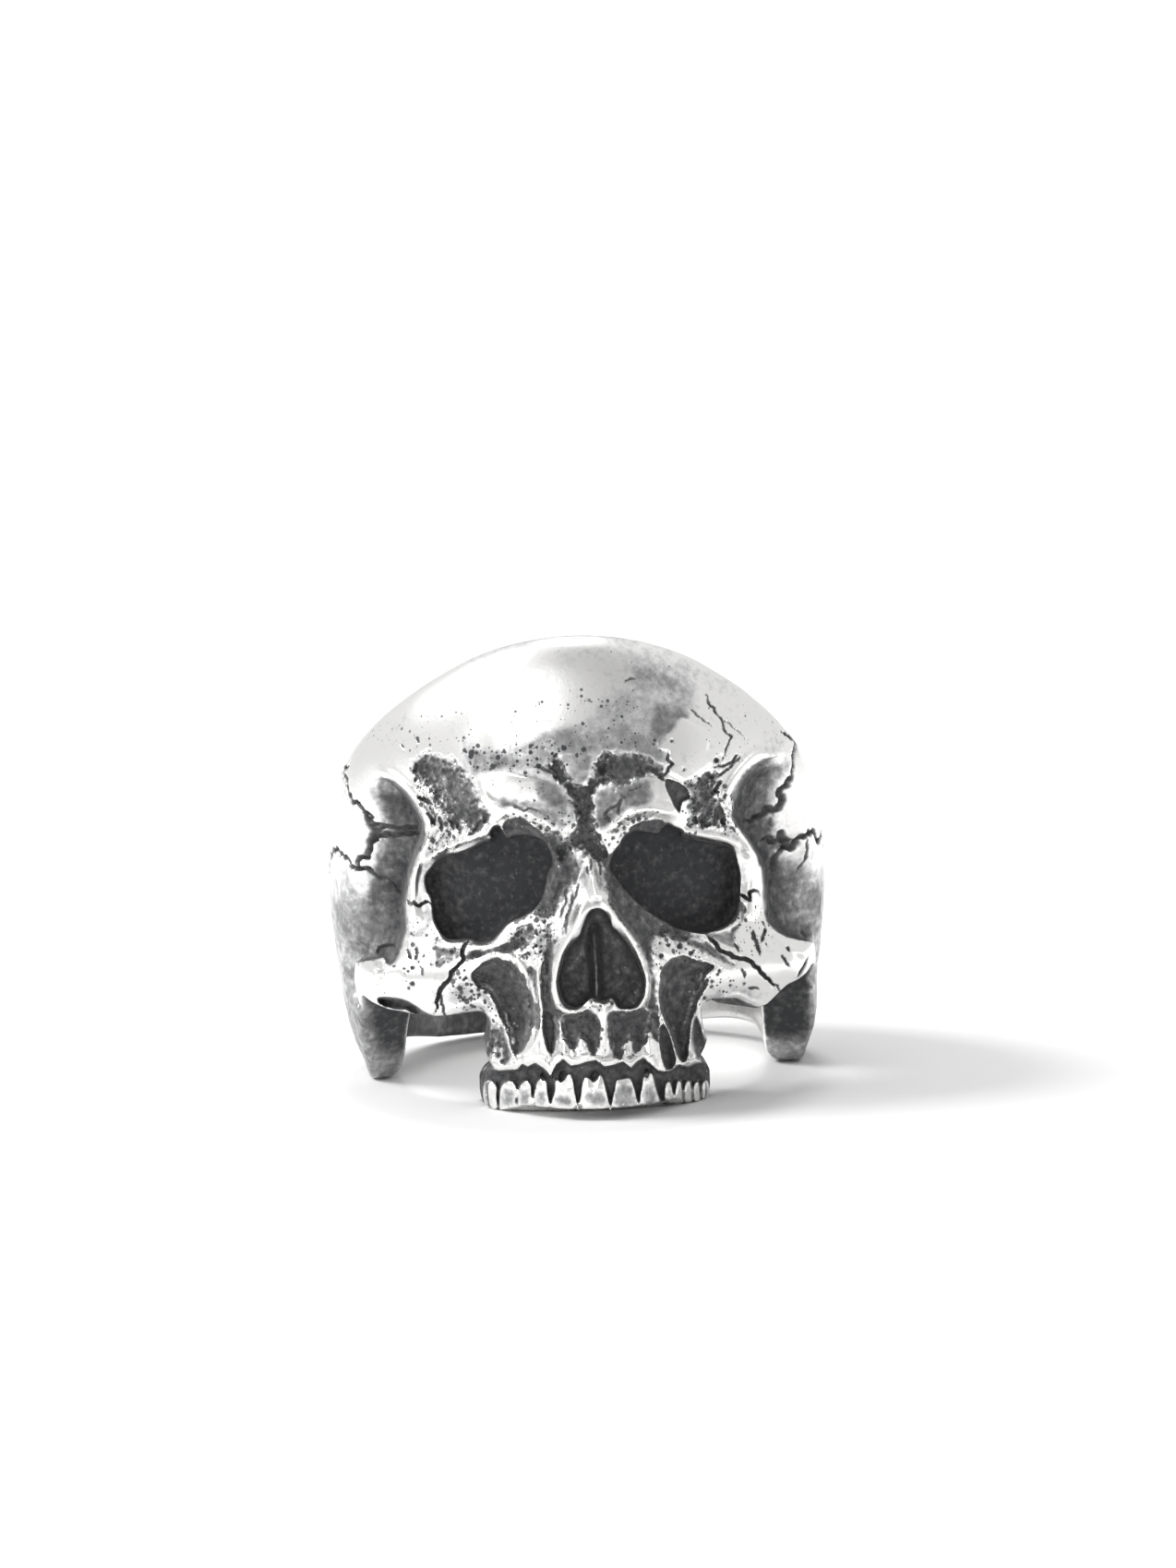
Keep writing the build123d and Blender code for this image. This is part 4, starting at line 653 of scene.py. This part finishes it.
def field(x, y, z, looks=False):
    """Below 0 inside the ring; near the surface it is about the distance to it in mm."""
    w = z - RAISE * ease(z / (2 + RAISE))
    r = np.hypot(x, y)
    bearing = np.degrees(np.arctan2(x, -y))
    off = np.abs(bearing)
    at, level = off / 0.5, (w + 1.0) / 0.1
    px, py = to_plane(x, y, z)
    facing = 1 - ease((off - 64) / 16)
    here = side.sample(side.relief, bearing * SIDE_DEG, -z * PX_MM)
    here = here + face.sample(face.relief, px, py) * facing
    # temples
    left = x < 0
    edge = np.where(left, np.interp(py, *zip(*TEMPLE_L)) - px, px - np.interp(py, *zip(*TEMPLE_R)))
    raised = level + 4.0 * ease((off - 57) / 9) * (1 - ease((w - 8) / 2))
    deep, begin, end = (look_up(row, raised) for row in TEMPLE_ROWS)
    temple = deep * ease(edge / 8) * (1 - ease((off - begin) / (end - begin)))
    skin = look_up2(SKIN, at, level) - temple
    band = ease((w - 3.9) / 0.8) * (1 - ease((w - 6.9) / 0.9))
    skin = skin - np.where(left, 0.85, 0.35) * band * ease((off - 68.3) / 2.2) * (1 - ease((off - 75) / 8))
    skin = skin + np.where(left, 0.0, 0.30) * ease((off - 66) / 12) * (1 - ease((off - 100) / 15)) * (1 - ease((w - 1.5) / 3))
    skin = np.maximum(skin, 10.5)
    # crown
    top, wide, high = (look_up(CREST[:, i], at) for i in range(3))
    top = top - LEAN * 12.5 * np.sin(np.radians(bearing))
    a, b = (r - (skin - wide)) / wide, (w - (top - high)) / high
    q = np.hypot(a, b) + 1e-6
    steep = np.maximum(wide * np.hypot(a / wide, b / high) / q, 0.2)
    f = np.where((a > 0) & (b > 0), (q - 1) * wide / steep, np.maximum((a - 1) * wide, (b - 1) * high))
    f = f - np.maximum(here, -(np.maximum(skin - 10.45, 0.1)))
    # eye sockets and nose
    ground = 10.35 + 0.10 * face.sample(face.n8, px, py) + 0.45 * ease((off - 24) / 18)
    ground = ground + 0.75 * np.exp(-(((px - 645 - (py - 1040) * 0.05) / 6.0) ** 2)) * ease((py - 996) / 20) * ease((1092 - py) / 8)
    pocket = larger(face.sample(face.socket, px, py), ground - r, 0.7)
    pocket = np.where(y < -3, pocket, 9.0)
    f = larger(f, -pocket, 0.26)
    # the open space under each cheekbone, and the lower edge behind it
    groove = 0.34 * sum(np.exp(-(((y - g) / 0.17) ** 2)) for g in (-10.75, -9.75, -8.85)) * (1 - ease((w - 1.5) / 0.4))
    groove = groove + 0.22 * np.exp(-(((w - 1.85) / 0.28) ** 2))
    jaw = np.where(y < 0, look_up(JAW_SIDE, level) - groove - np.abs(x), -9.0)
    lower = np.where(left, look_up(EDGE[0], at), look_up(EDGE[1], at))
    gap = larger(jaw, (w - lower) * 0.85, 0.8)
    f = larger(f, -gap, 0.34)
    # the front of the jaw stands clear of the floor
    lift = 0.55 * ease((r - 12.2) / 1.5) * (1 - ease((off - 24) / 14)) * (y < 0)
    f = larger(f, lift - z, 0.16)
    # finger hole, its upper edge well rounded and the lobes' tips too
    soft = 0.32 + 0.6 * ease((w - top + 3.0) / 2.0) + 0.7 * ease((off - 60) / 10) * (1 - ease((off - 118) / 16)) * ease((1.6 - w) / 1.2)
    f = larger(f, BORE_R - r, soft)
    if not looks:
        return f
    oxide_and_shade = np.maximum(face.sample(face.oxide_and_shade, px, py) * facing, side.sample(side.oxide_and_shade, bearing * SIDE_DEG, -z * PX_MM))
    side_noise = side.sample(side.n20, bearing * SIDE_DEG, -z * PX_MM)
    # temple hollows: patina with painted shade, darkest beside the ridge, lighter outwards
    dark = np.where(left, np.interp(w, [7, 8.8, 9.6, 10.2, 16], [26, 28, 34, 36, 26]), np.interp(w, [7, 9.5, 10.8, 11.6, 13, 14.5, 16], [22, 20, 14, 10, 20, 26, 26]))
    fade = np.where(left, np.interp(w, [7, 8.8, 9.8, 10.4, 16], [66, 48, 24, 15, 20]), np.interp(w, [7, 9.5, 10.8, 11.6, 13, 16], [56, 54, 44, 26, 30, 28]))
    edge = edge + 5 * face.sample(face.n20, px, py)
    patina_and_shade = (1.04 - 0.28 * ease((edge - 4) / 24)) * (1 - 0.92 * ease((edge - dark) / fade))
    patina_and_shade = ease((deep - 0.2) / 0.5) * ease(edge / 4) * patina_and_shade * (1 + 0.16 * side_noise)
    patina_and_shade = patina_and_shade * (1 - ease((w - np.where(left, 15.4, 16.0)) / 0.9)) * (1 - ease((off - np.where(left, 59.5, 57.5)) / 5) * ease((w - 13.6) / 0.9))
    oxide_and_shade = np.maximum(oxide_and_shade, patina_and_shade * (off < 88))
    # the wall behind the arch's end
    behind = ease((off - 67.5) / 2) * (1 - ease((off - 88) / 16)) * ease((w - 0.6) / 1.2) * (1 - ease((w - 8.5) / 3))
    oxide_and_shade = np.maximum(oxide_and_shade, behind * (0.50 - 0.25 * ease((off - 72) / 14) + 0.22 * side_noise))
    # sockets: an even dull black oxide, painted lighter where they lie deepest in shade as painted fill light, most
    # inside the nose
    nose = ease((px - 602) / 4) * ease((702 - px) / 4) * ease((py - 980) / 4)
    painted_fill_light = 0.50 * nose + 0.14 * ease((off - 30) / 14) * (1 - nose)
    painted_fill_light = painted_fill_light + 0.38 * nose * np.exp(-(((px - 645 - (py - 1040) * 0.05) / 2.5) ** 2)) * ease((py - 1030) / 50)
    oxide_and_shade = np.maximum(oxide_and_shade, ease((0.10 - pocket) / 0.07) * ease((0.04 - face.sample(face.socket, px, py)) / 0.09) * (1.22 - painted_fill_light))
    # painted shade on the faces that look into the open space under each cheekbone: darkest on the lobes, lighter
    # towards each lobe's outer border and its worn tip, and on the jaw's side darker along its grooves
    cut = ease((0.12 - gap) / 0.12) * (r > 9.75)
    rim = np.where(left, ease((px - 389 - (py - 1081) * 0.22) / 17), ease((884 - px) / 14))
    tip = 0.92 * ease((1.7 - w) / 0.9 + 0.5 * side_noise)
    oxide_and_shade = np.maximum(oxide_and_shade, cut * np.where(jaw > -0.3, 0.35 + 1.6 * groove, 1.15 * (1 - tip) * (0.25 + 0.75 * rim) + 0.12 * side_noise))
    # inside the finger hole: plain painted shade, a darker reflection, light grey over the left half, darkest low down
    # at the back on the left, none on the right
    depth = 0.02 + 0.5 * ease((1.4 - w) / 0.7) * ease(y)
    inner = 1 - ease((r - BORE_R - depth) / 0.2)
    low = 1 - ease((w - 2.5) / 4)
    right, rear = ease((x + 4) / 8), ease((y + 3) / 6)
    bore_base_shade = 0.2 * (1 - right)
    painted_bore_shade = rear * (1 - right) * (0.95 - 0.38 * np.exp(-(((off - 128) / 12) ** 2))) + (1 - rear) * bore_base_shade
    oxide_and_shade = oxide_and_shade * (1 - inner) + inner * (bore_base_shade + low * (painted_bore_shade - bore_base_shade))
    specks = np.maximum(face.sample(face.specks, px, py) * facing, 0.3 * ease((0.05 - pocket) / 0.05))
    glints = np.maximum(0.6 * face.sample(face.glints, px, py) * facing, ease((0.05 - pocket) / 0.05) * 0.5)
    return f, np.clip(oxide_and_shade, 0, 1.3), specks * (1 - inner), glints * (1 - inner)


def on_wall(points):
    """Points of the face plane as points of the side plane, found where the view meets the surface."""
    radii, out = np.linspace(14.4, 9.9, 181), []
    for px, py in points:
        t, z = np.array([to_side(px, py, r) for r in radii]).T
        a = np.radians(t)
        f = field((radii * np.sin(a)).astype(F4), (-radii * np.cos(a)).astype(F4), z.astype(F4))
        i = int(np.argmax(f < 0)) if (f < 0).any() else int(np.argmin(f))
        out.append((t[i] * SIDE_DEG, -z[i] * PX_MM))
    return out


# ------------------------------------------------------------------ seams and streaks round the sides
for seen, beyond, width, depth in SEAMS:
    side.crack([(t * SIDE_DEG, -z * PX_MM) for t, z in beyond] + on_wall(seen), width, depth, ends=(0.12, 0.15), wander=1.7)
for s in (-1, 1):
    # the arch's end stands clear of the wall behind it
    side.crack([(s * t * SIDE_DEG, -z * PX_MM) for t, z in ((71.5, 7.3), (72.6, 6.4), (72.8, 5.4), (71.8, 4.2))], 16, 0.55, 0.45, ends=(0.3, 0.3), jag=0.4)
    side.streaks([(s * t * SIDE_DEG, -z * PX_MM) for t, z in ((60, 11.5), (72, 11.8), (96, 11.0), (112, 8.0), (104, 5.0), (80, 6.6), (62, 7.2))], 78 if s < 0 else 100, 13, 70, 0.07, 0.42 if s < 0 else 0.34, 40, 61 + s)
    side.streaks([(s * t * SIDE_DEG, -z * PX_MM) for t, z in ((74, 6.4), (92, 6.6), (108, 5.5), (104, 0.4), (84, 0.2), (74, 2.4))], 96, 12, 60, 0.06, 0.45, 30, 71 + s)
    side.patch([(s * t * SIDE_DEG, -z * PX_MM) for t, z in ((76, 5.0), (84, 4.6), (94, 4.8), (104, 4.0), (106, 1.0), (96, -0.4), (84, -0.4), (74, 0.6), (72, 3.0))], 0.0, 34, 0.42, 0.012, 5.0)
side.crack(around([(868, 1037), (865, 1044), (861, 1051), (856, 1058)]), 6, 0.55, 1.0, ends=(0.2, 0.1), jag=0.4)
side.settle()


def in_parts(fn, points, size=400_000):
    out = [fn(*points[i:i + size].T) for i in range(0, len(points), size)]
    return [np.concatenate(c) for c in zip(*out)] if isinstance(out[0], tuple) else np.concatenate(out)


def slope(points, step=0.02):
    g = np.empty_like(points)
    for i in range(3):
        d = np.zeros(3, F4)
        d[i] = step
        g[:, i] = (in_parts(field, points + d) - in_parts(field, points - d)) / (2 * step)
    return g


LOW, HIGH = np.array([-13.8, -15.9, -0.4]), np.array([13.8, 12.4, 25.2])


def sculpt(cell, block=4):
    """Closed surface of the field as quads: one vertex in every cell that the surface crosses."""
    n = (np.ceil((HIGH - LOW) / (cell * block)).astype(int)) * block + 1
    coarse = [LOW[i] + cell * block * np.arange((n[i] - 1) // block + 1) for i in range(3)]
    grid = np.stack(np.meshgrid(*coarse, indexing="ij"), -1).reshape(-1, 3).astype(F4)
    c = in_parts(field, grid).reshape([len(v) for v in coarse])
    near = np.abs(c) < cell * block * 1.3 + 0.55
    blocks = np.zeros([s - 1 for s in near.shape], bool)
    for dx in (0, 1):
        for dy in (0, 1):
            for dz in (0, 1):
                blocks |= near[dx:dx + blocks.shape[0], dy:dy + blocks.shape[1], dz:dz + blocks.shape[2]]
    values = np.repeat(np.repeat(np.repeat(np.where(c[:-1, :-1, :-1] < 0, F4(-1), F4(1)), block, 0), block, 1), block, 2)
    values = np.pad(values, ((0, 1),) * 3, mode="edge")
    mask = np.zeros(values.shape, bool)
    fine = np.repeat(np.repeat(np.repeat(blocks, block, 0), block, 1), block, 2)
    for dx in (0, 1):
        for dy in (0, 1):
            for dz in (0, 1):
                mask[dx:dx + fine.shape[0], dy:dy + fine.shape[1], dz:dz + fine.shape[2]] |= fine
    at = np.argwhere(mask)
    values[mask] = in_parts(field, (LOW + at * cell).astype(F4))
    inside = values < 0
    # crossings of the cell edges give each cell's vertex
    shape = tuple(s - 1 for s in values.shape)
    corners = sum(inside[dx:dx + shape[0], dy:dy + shape[1], dz:dz + shape[2]].astype(np.uint8) for dx in (0, 1) for dy in (0, 1) for dz in (0, 1))
    cells = np.argwhere((corners > 0) & (corners < 8))
    number = np.full(shape, -1, np.int32)
    number[tuple(cells.T)] = np.arange(len(cells))
    total, count = np.zeros((len(cells), 3)), np.zeros(len(cells))
    offsets = [np.array(o) for o in ((0, 0, 0), (1, 0, 0), (0, 1, 0), (0, 0, 1), (1, 1, 0), (1, 0, 1), (0, 1, 1), (1, 1, 1))]
    for o in offsets:
        for axis in range(3):
            if o[axis]:
                continue
            p0 = cells + o
            p1 = p0.copy()
            p1[:, axis] += 1
            v0, v1 = values[tuple(p0.T)], values[tuple(p1.T)]
            cross = (v0 < 0) != (v1 < 0)
            t = v0[cross] / (v0[cross] - v1[cross])
            hit = p0[cross].astype(float)
            hit[:, axis] += t
            total[cross] += hit
            count[cross] += 1
    points = (LOW + total / count[:, None] * cell).astype(F4)
    quads = []
    for axis in range(3):
        u, v = (axis + 1) % 3, (axis + 2) % 3
        here = [slice(1, -1)] * 3
        here[axis] = slice(0, -1)
        there = list(here)
        there[axis] = slice(1, None)
        a, b = inside[tuple(here)], inside[tuple(there)]
        at = np.argwhere(a != b)
        out = a[tuple(at.T)]
        base = at + np.array([0 if i == axis else 1 for i in range(3)])
        ring = []
        for du, dv in ((-1, -1), (0, -1), (0, 0), (-1, 0)):
            k = base.copy()
            k[:, u] += du
            k[:, v] += dv
            ring.append(number[tuple(k.T)])
        ring = np.stack(ring, 1)
        ring[~out] = ring[~out][:, ::-1]
        quads.append(ring)
    return points, np.concatenate(quads)


def settle_on(points, rounds=3, reach=0.08):
    """Moves points along the field's slope on to the surface."""
    for _ in range(rounds):
        g = slope(points)
        step = in_parts(field, points)[:, None] * g / np.maximum((g**2).sum(1, keepdims=True), 0.2)
        points = points - np.clip(step, -reach, reach).astype(F4)
    return points


CELL = 0.1
MOST = 194_000
points, quads = sculpt(CELL)
points = settle_on(points, 2, CELL * 0.5)
mesh = bpy.data.meshes.new("skull_ring_cast")
mesh.from_pydata((points / 1000).tolist(), [], quads.tolist())
cast = bpy.data.objects.new("skull_ring_cast", mesh)
bpy.context.scene.collection.objects.link(cast)
print("sculpt", len(points), "points", len(quads), "quads")
fewer = cast.modifiers.new("fewer", "DECIMATE")
fewer.ratio = min(1.0, MOST / (2 * len(quads)))
fewer.use_collapse_triangulate = True
made = bpy.data.meshes.new_from_object(cast.evaluated_get(bpy.context.evaluated_depsgraph_get()))
cast.modifiers.clear()
cast.data = made
mesh = made
mesh.name = "skull_ring_cast"
points = np.empty(len(mesh.vertices) * 3, F4)
mesh.vertices.foreach_get("co", points)
points = settle_on(points.reshape(-1, 3) * 1000, 2, 0.04)
mesh.vertices.foreach_set("co", (points / 1000).ravel())
# the oxide and the painted shade go to the mesh as one attribute
_, oxide_and_shade, specks, glints = in_parts(lambda x, y, z: field(x, y, z, looks=True), points)
mesh.attributes.new("oxide_and_shade", "FLOAT", "POINT").data.foreach_set("value", oxide_and_shade.astype(F4))
mesh.attributes.new("specks", "FLOAT", "POINT").data.foreach_set("value", specks.astype(F4))
mesh.attributes.new("glints", "FLOAT", "POINT").data.foreach_set("value", glints.astype(F4))
normals = slope(points, 0.03)
normals /= np.maximum(np.linalg.norm(normals, axis=1, keepdims=True), 1e-6)
mesh.polygons.foreach_set("use_smooth", np.ones(len(mesh.polygons), bool))
mesh.update()
mesh.normals_split_custom_set_from_vertices(normals.tolist())
print("mesh", len(mesh.vertices), "vertices", len(mesh.polygons), "faces")

# ------------------------------------------------------------------ finish
def node(tree, kind, **inputs):
    n = tree.nodes.new(kind)
    for k, v in inputs.items():
        n.inputs[k.replace("_", " ")].default_value = v
    return n


def silver():
    m = bpy.data.materials.new("oxidised_silver")
    m.use_nodes = True
    t = m.node_tree
    t.nodes.clear()
    link = t.links.new
    out, shader = t.nodes.new("ShaderNodeOutputMaterial"), t.nodes.new("ShaderNodeBsdfPrincipled")
    link(shader.outputs[0], out.inputs[0])
    where = t.nodes.new("ShaderNodeTexCoord")
    attribute = t.nodes.new("ShaderNodeAttribute")
    attribute.attribute_name = "oxide_and_shade"
    fine = node(t, "ShaderNodeTexNoise", Scale=2600.0, Detail=4.0, Roughness=0.6)
    broad = node(t, "ShaderNodeTexNoise", Scale=420.0, Detail=5.0, Roughness=0.62)
    link(where.outputs["Object"], fine.inputs["Vector"])
    link(where.outputs["Object"], broad.inputs["Vector"])
    def sums(kind, first, second, third=None):
        n = t.nodes.new("ShaderNodeMath")
        n.operation = kind
        for slot, value in enumerate((first, second, third)):
            if value is None:
                continue
            if isinstance(value, (int, float)):
                n.inputs[slot].default_value = value
            else:
                link(value, n.inputs[slot])
        return n.outputs[0]

    def dots(scale, amount, least, most, hardness=0.06):
        """Small round dots in some cells of a Voronoi pattern, more of them where the amount is higher."""
        cells = t.nodes.new("ShaderNodeTexVoronoi")
        cells.inputs["Scale"].default_value = scale
        link(where.outputs["Object"], cells.inputs["Vector"])
        tone = t.nodes.new("ShaderNodeSeparateColor")
        link(cells.outputs["Color"], tone.inputs[0])
        chosen = t.nodes.new("ShaderNodeMapRange")
        chosen.inputs["From Min"].default_value = least
        link(tone.outputs[0], chosen.inputs["Value"])
        size = sums("MULTIPLY", sums("MULTIPLY", chosen.outputs[0], amount), most)
        dot = t.nodes.new("ShaderNodeMapRange")
        dot.inputs["From Min"].default_value, dot.inputs["From Max"].default_value = -0.01, hardness
        link(sums("SUBTRACT", size, cells.outputs["Distance"]), dot.inputs["Value"])
        return dot.outputs[0]

    # the oxide and painted shade are broken up by the noise, the more the thicker they are
    uneven = sums("MULTIPLY_ADD", sums("SUBTRACT", fine.outputs["Fac"], 0.5), 0.9, 1.0)
    spread = sums("MULTIPLY", attribute.outputs["Fac"], uneven)
    spread = sums("MULTIPLY_ADD", fine.outputs["Fac"], 0.5, spread)
    spread = sums("MULTIPLY_ADD", broad.outputs["Fac"], 0.3, spread)
    # fine pitting holds oxide; the high grains of a rough dark surface are worn bright
    pitted, grains = t.nodes.new("ShaderNodeAttribute"), t.nodes.new("ShaderNodeAttribute")
    pitted.attribute_name, grains.attribute_name = "specks", "glints"
    holes = sums("MAXIMUM", dots(3000.0, pitted.outputs["Fac"], 0.45, 0.62), dots(5600.0, pitted.outputs["Fac"], 0.45, 0.55))
    bright = sums("MAXIMUM", dots(6100.0, grains.outputs["Fac"], 0.80, 0.62, 0.2), dots(3700.0, grains.outputs["Fac"], 0.88, 0.55, 0.2))
    spread = sums("MULTIPLY_ADD", holes, 0.75, spread)
    spread = sums("MULTIPLY_ADD", bright, -0.55, spread)
    cover = t.nodes.new("ShaderNodeMapRange")
    cover.inputs["From Min"].default_value = 0.45
    cover.inputs["From Max"].default_value = 1.60
    link(spread, cover.inputs["Value"])
    colour = t.nodes.new("ShaderNodeValToRGB")
    r = colour.color_ramp
    r.elements[0].position, r.elements[0].color = 0.0, (0.93, 0.925, 0.91, 1)
    r.elements[1].position, r.elements[1].color = 1.0, (0.052, 0.053, 0.056, 1)
    for p, v in ((0.139, 0.66), (0.278, 0.42), (0.417, 0.27), (0.557, 0.18), (0.72, 0.115)):
        e = r.elements.new(p)
        e.color = (v, v, v * 1.01, 1)
    link(cover.outputs[0], colour.inputs[0])
    link(colour.outputs[0], shader.inputs["Base Color"])
    rough = t.nodes.new("ShaderNodeMapRange")
    rough.inputs["To Min"].default_value = 0.26
    rough.inputs["To Max"].default_value = 0.75
    link(cover.outputs[0], rough.inputs["Value"])
    link(rough.outputs[0], shader.inputs["Roughness"])
    # bare silver is metal; the thick oxide is a dull dark film
    metal = t.nodes.new("ShaderNodeMapRange")
    metal.inputs["From Min"].default_value = 0.30
    metal.inputs["From Max"].default_value = 0.75
    metal.inputs["To Min"].default_value = 1.0
    metal.inputs["To Max"].default_value = 0.12
    shader.inputs["Specular IOR Level"].default_value = 0.22
    link(cover.outputs[0], metal.inputs["Value"])
    link(metal.outputs[0], shader.inputs["Metallic"])
    bump = t.nodes.new("ShaderNodeBump")
    bump.inputs["Strength"].default_value = 0.25
    bump.inputs["Distance"].default_value = 0.00004
    link(fine.outputs["Fac"], bump.inputs["Height"])
    link(bump.outputs[0], shader.inputs["Normal"])
    return m


mesh.materials.clear()
mesh.materials.append(silver())
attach(cast, "root")
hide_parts("skull_ring")


# ------------------------------------------------------------------ floor, light, camera
def plain(name, colour, roughness):
    m = bpy.data.materials.new(name)
    m.use_nodes = True
    s = m.node_tree.nodes["Principled BSDF"]
    s.inputs["Base Color"].default_value = (*colour, 1)
    s.inputs["Roughness"].default_value = roughness
    s.inputs["Specular IOR Level"].default_value = 0.2
    return m


bpy.ops.mesh.primitive_plane_add(size=6.0, location=(0, 0, -0.00002))
floor = bpy.context.object
floor.name = "floor"
floor.data.materials.append(plain("paper", (0.74, 0.74, 0.74), 0.9))

scene = bpy.context.scene
world = bpy.data.worlds.new("studio") if scene.world is None else scene.world
scene.world = world
world.use_nodes = True
wt = world.node_tree
wt.nodes.clear()
back = wt.nodes.new("ShaderNodeBackground")
wout = wt.nodes.new("ShaderNodeOutputWorld")
wt.links.new(back.outputs[0], wout.inputs[0])
coordinates = wt.nodes.new("ShaderNodeTexCoord")


def bearing_vector(azimuth, elevation):
    """Direction from the ring: azimuth 0 towards the camera's side (-Y), positive to the right."""
    a, e = math.radians(azimuth), math.radians(elevation)
    return (math.sin(a) * math.cos(e), -math.cos(a) * math.cos(e), math.sin(e))


def studio(level, rise, soft_areas):
    """Plain studio: a level with a rise towards the top, and soft brighter or darker areas."""
    split = wt.nodes.new("ShaderNodeSeparateXYZ")
    wt.links.new(coordinates.outputs["Generated"], split.inputs[0])
    total = wt.nodes.new("ShaderNodeMapRange")
    total.inputs["From Min"].default_value, total.inputs["From Max"].default_value = 0.0, 1.0
    total.inputs["To Min"].default_value, total.inputs["To Max"].default_value = level, level + rise
    wt.links.new(split.outputs["Z"], total.inputs["Value"])
    for azimuth, elevation, inner, outer, amount in soft_areas:
        dot = wt.nodes.new("ShaderNodeVectorMath")
        dot.operation = "DOT_PRODUCT"
        wt.links.new(coordinates.outputs["Generated"], dot.inputs[0])
        dot.inputs[1].default_value = bearing_vector(azimuth, elevation)
        area = wt.nodes.new("ShaderNodeMapRange")
        area.interpolation_type = "SMOOTHSTEP"
        area.inputs["From Min"].default_value, area.inputs["From Max"].default_value = math.cos(math.radians(outer)), math.cos(math.radians(inner))
        area.inputs["To Min"].default_value, area.inputs["To Max"].default_value = 0.0, amount
        wt.links.new(dot.outputs["Value"], area.inputs["Value"])
        add = wt.nodes.new("ShaderNodeMath")
        add.operation = "ADD"
        wt.links.new(total.outputs[0], add.inputs[0])
        wt.links.new(area.outputs[0], add.inputs[1])
        total = add
    wt.links.new(total.outputs[0], back.inputs["Color"])


studio(0.77, 0.0, [(-36, 24, 2, 30, 0.95), (10, 2, 4, 36, -0.20), (40, 20, 4, 36, -0.14), (26, 60, 5, 38, -0.24), (170, 62, 8, 50, 0.12)])
back.inputs["Strength"].default_value = 1.0

for name, azimuth, elevation, energy, spread in (("key", -99, 45, 2.8, 26), ("back", 176, 72, 0.9, 10)):
    sun = bpy.data.lights.new(name, "SUN")
    sun.energy, sun.angle = energy, math.radians(spread)
    lamp = bpy.data.objects.new(name, sun)
    lamp.rotation_mode = "QUATERNION"
    lamp.rotation_quaternion = (-Vector(bearing_vector(azimuth, elevation))).to_track_quat("-Z", "Y")
    lamp.location = [0.4 * v for v in bearing_vector(azimuth, elevation)]
    scene.collection.objects.link(lamp)

cam = bpy.data.cameras.new("camera")
eye = bpy.data.objects.new("camera", cam)
scene.collection.objects.link(eye)
scene.camera = eye
WIDTH, HEIGHT = 1274, 1699
cam.sensor_fit = "AUTO"
cam.sensor_width = 36.0
reach = DISTANCE / 1000
# the long side of the frame is its height
cam.lens = 36.0 / (HEIGHT / (PX_MM * DISTANCE))
# the middle of the frame, in mm beside and above the ring's axis as the camera sees it
u, v = (WIDTH / 2 - AXIS_X) / PX_MM, (AXIS_Y - HEIGHT / 2) / PX_MM
u, v = COS_R * u + SIN_R * v, COS_R * v - SIN_R * u
position = -AHEAD * DISTANCE / 1000
cam.shift_x = 0.0
aim = (u * RIGHT + v * UP) / 1000
forward = (aim - position)
forward = forward / np.linalg.norm(forward)
right = RIGHT * COS_R - UP * SIN_R
right = right - forward * (right @ forward)
right /= np.linalg.norm(right)
upward = np.cross(right, forward)
m = np.eye(4)
m[:3, 0], m[:3, 1], m[:3, 2], m[:3, 3] = right, upward, -forward, position
eye.matrix_world = Matrix(m.tolist())
cam.clip_start, cam.clip_end = 0.02, 20
cam.dof.use_dof = False
scene.view_settings.view_transform = "Standard"
scene.view_settings.look = "None"
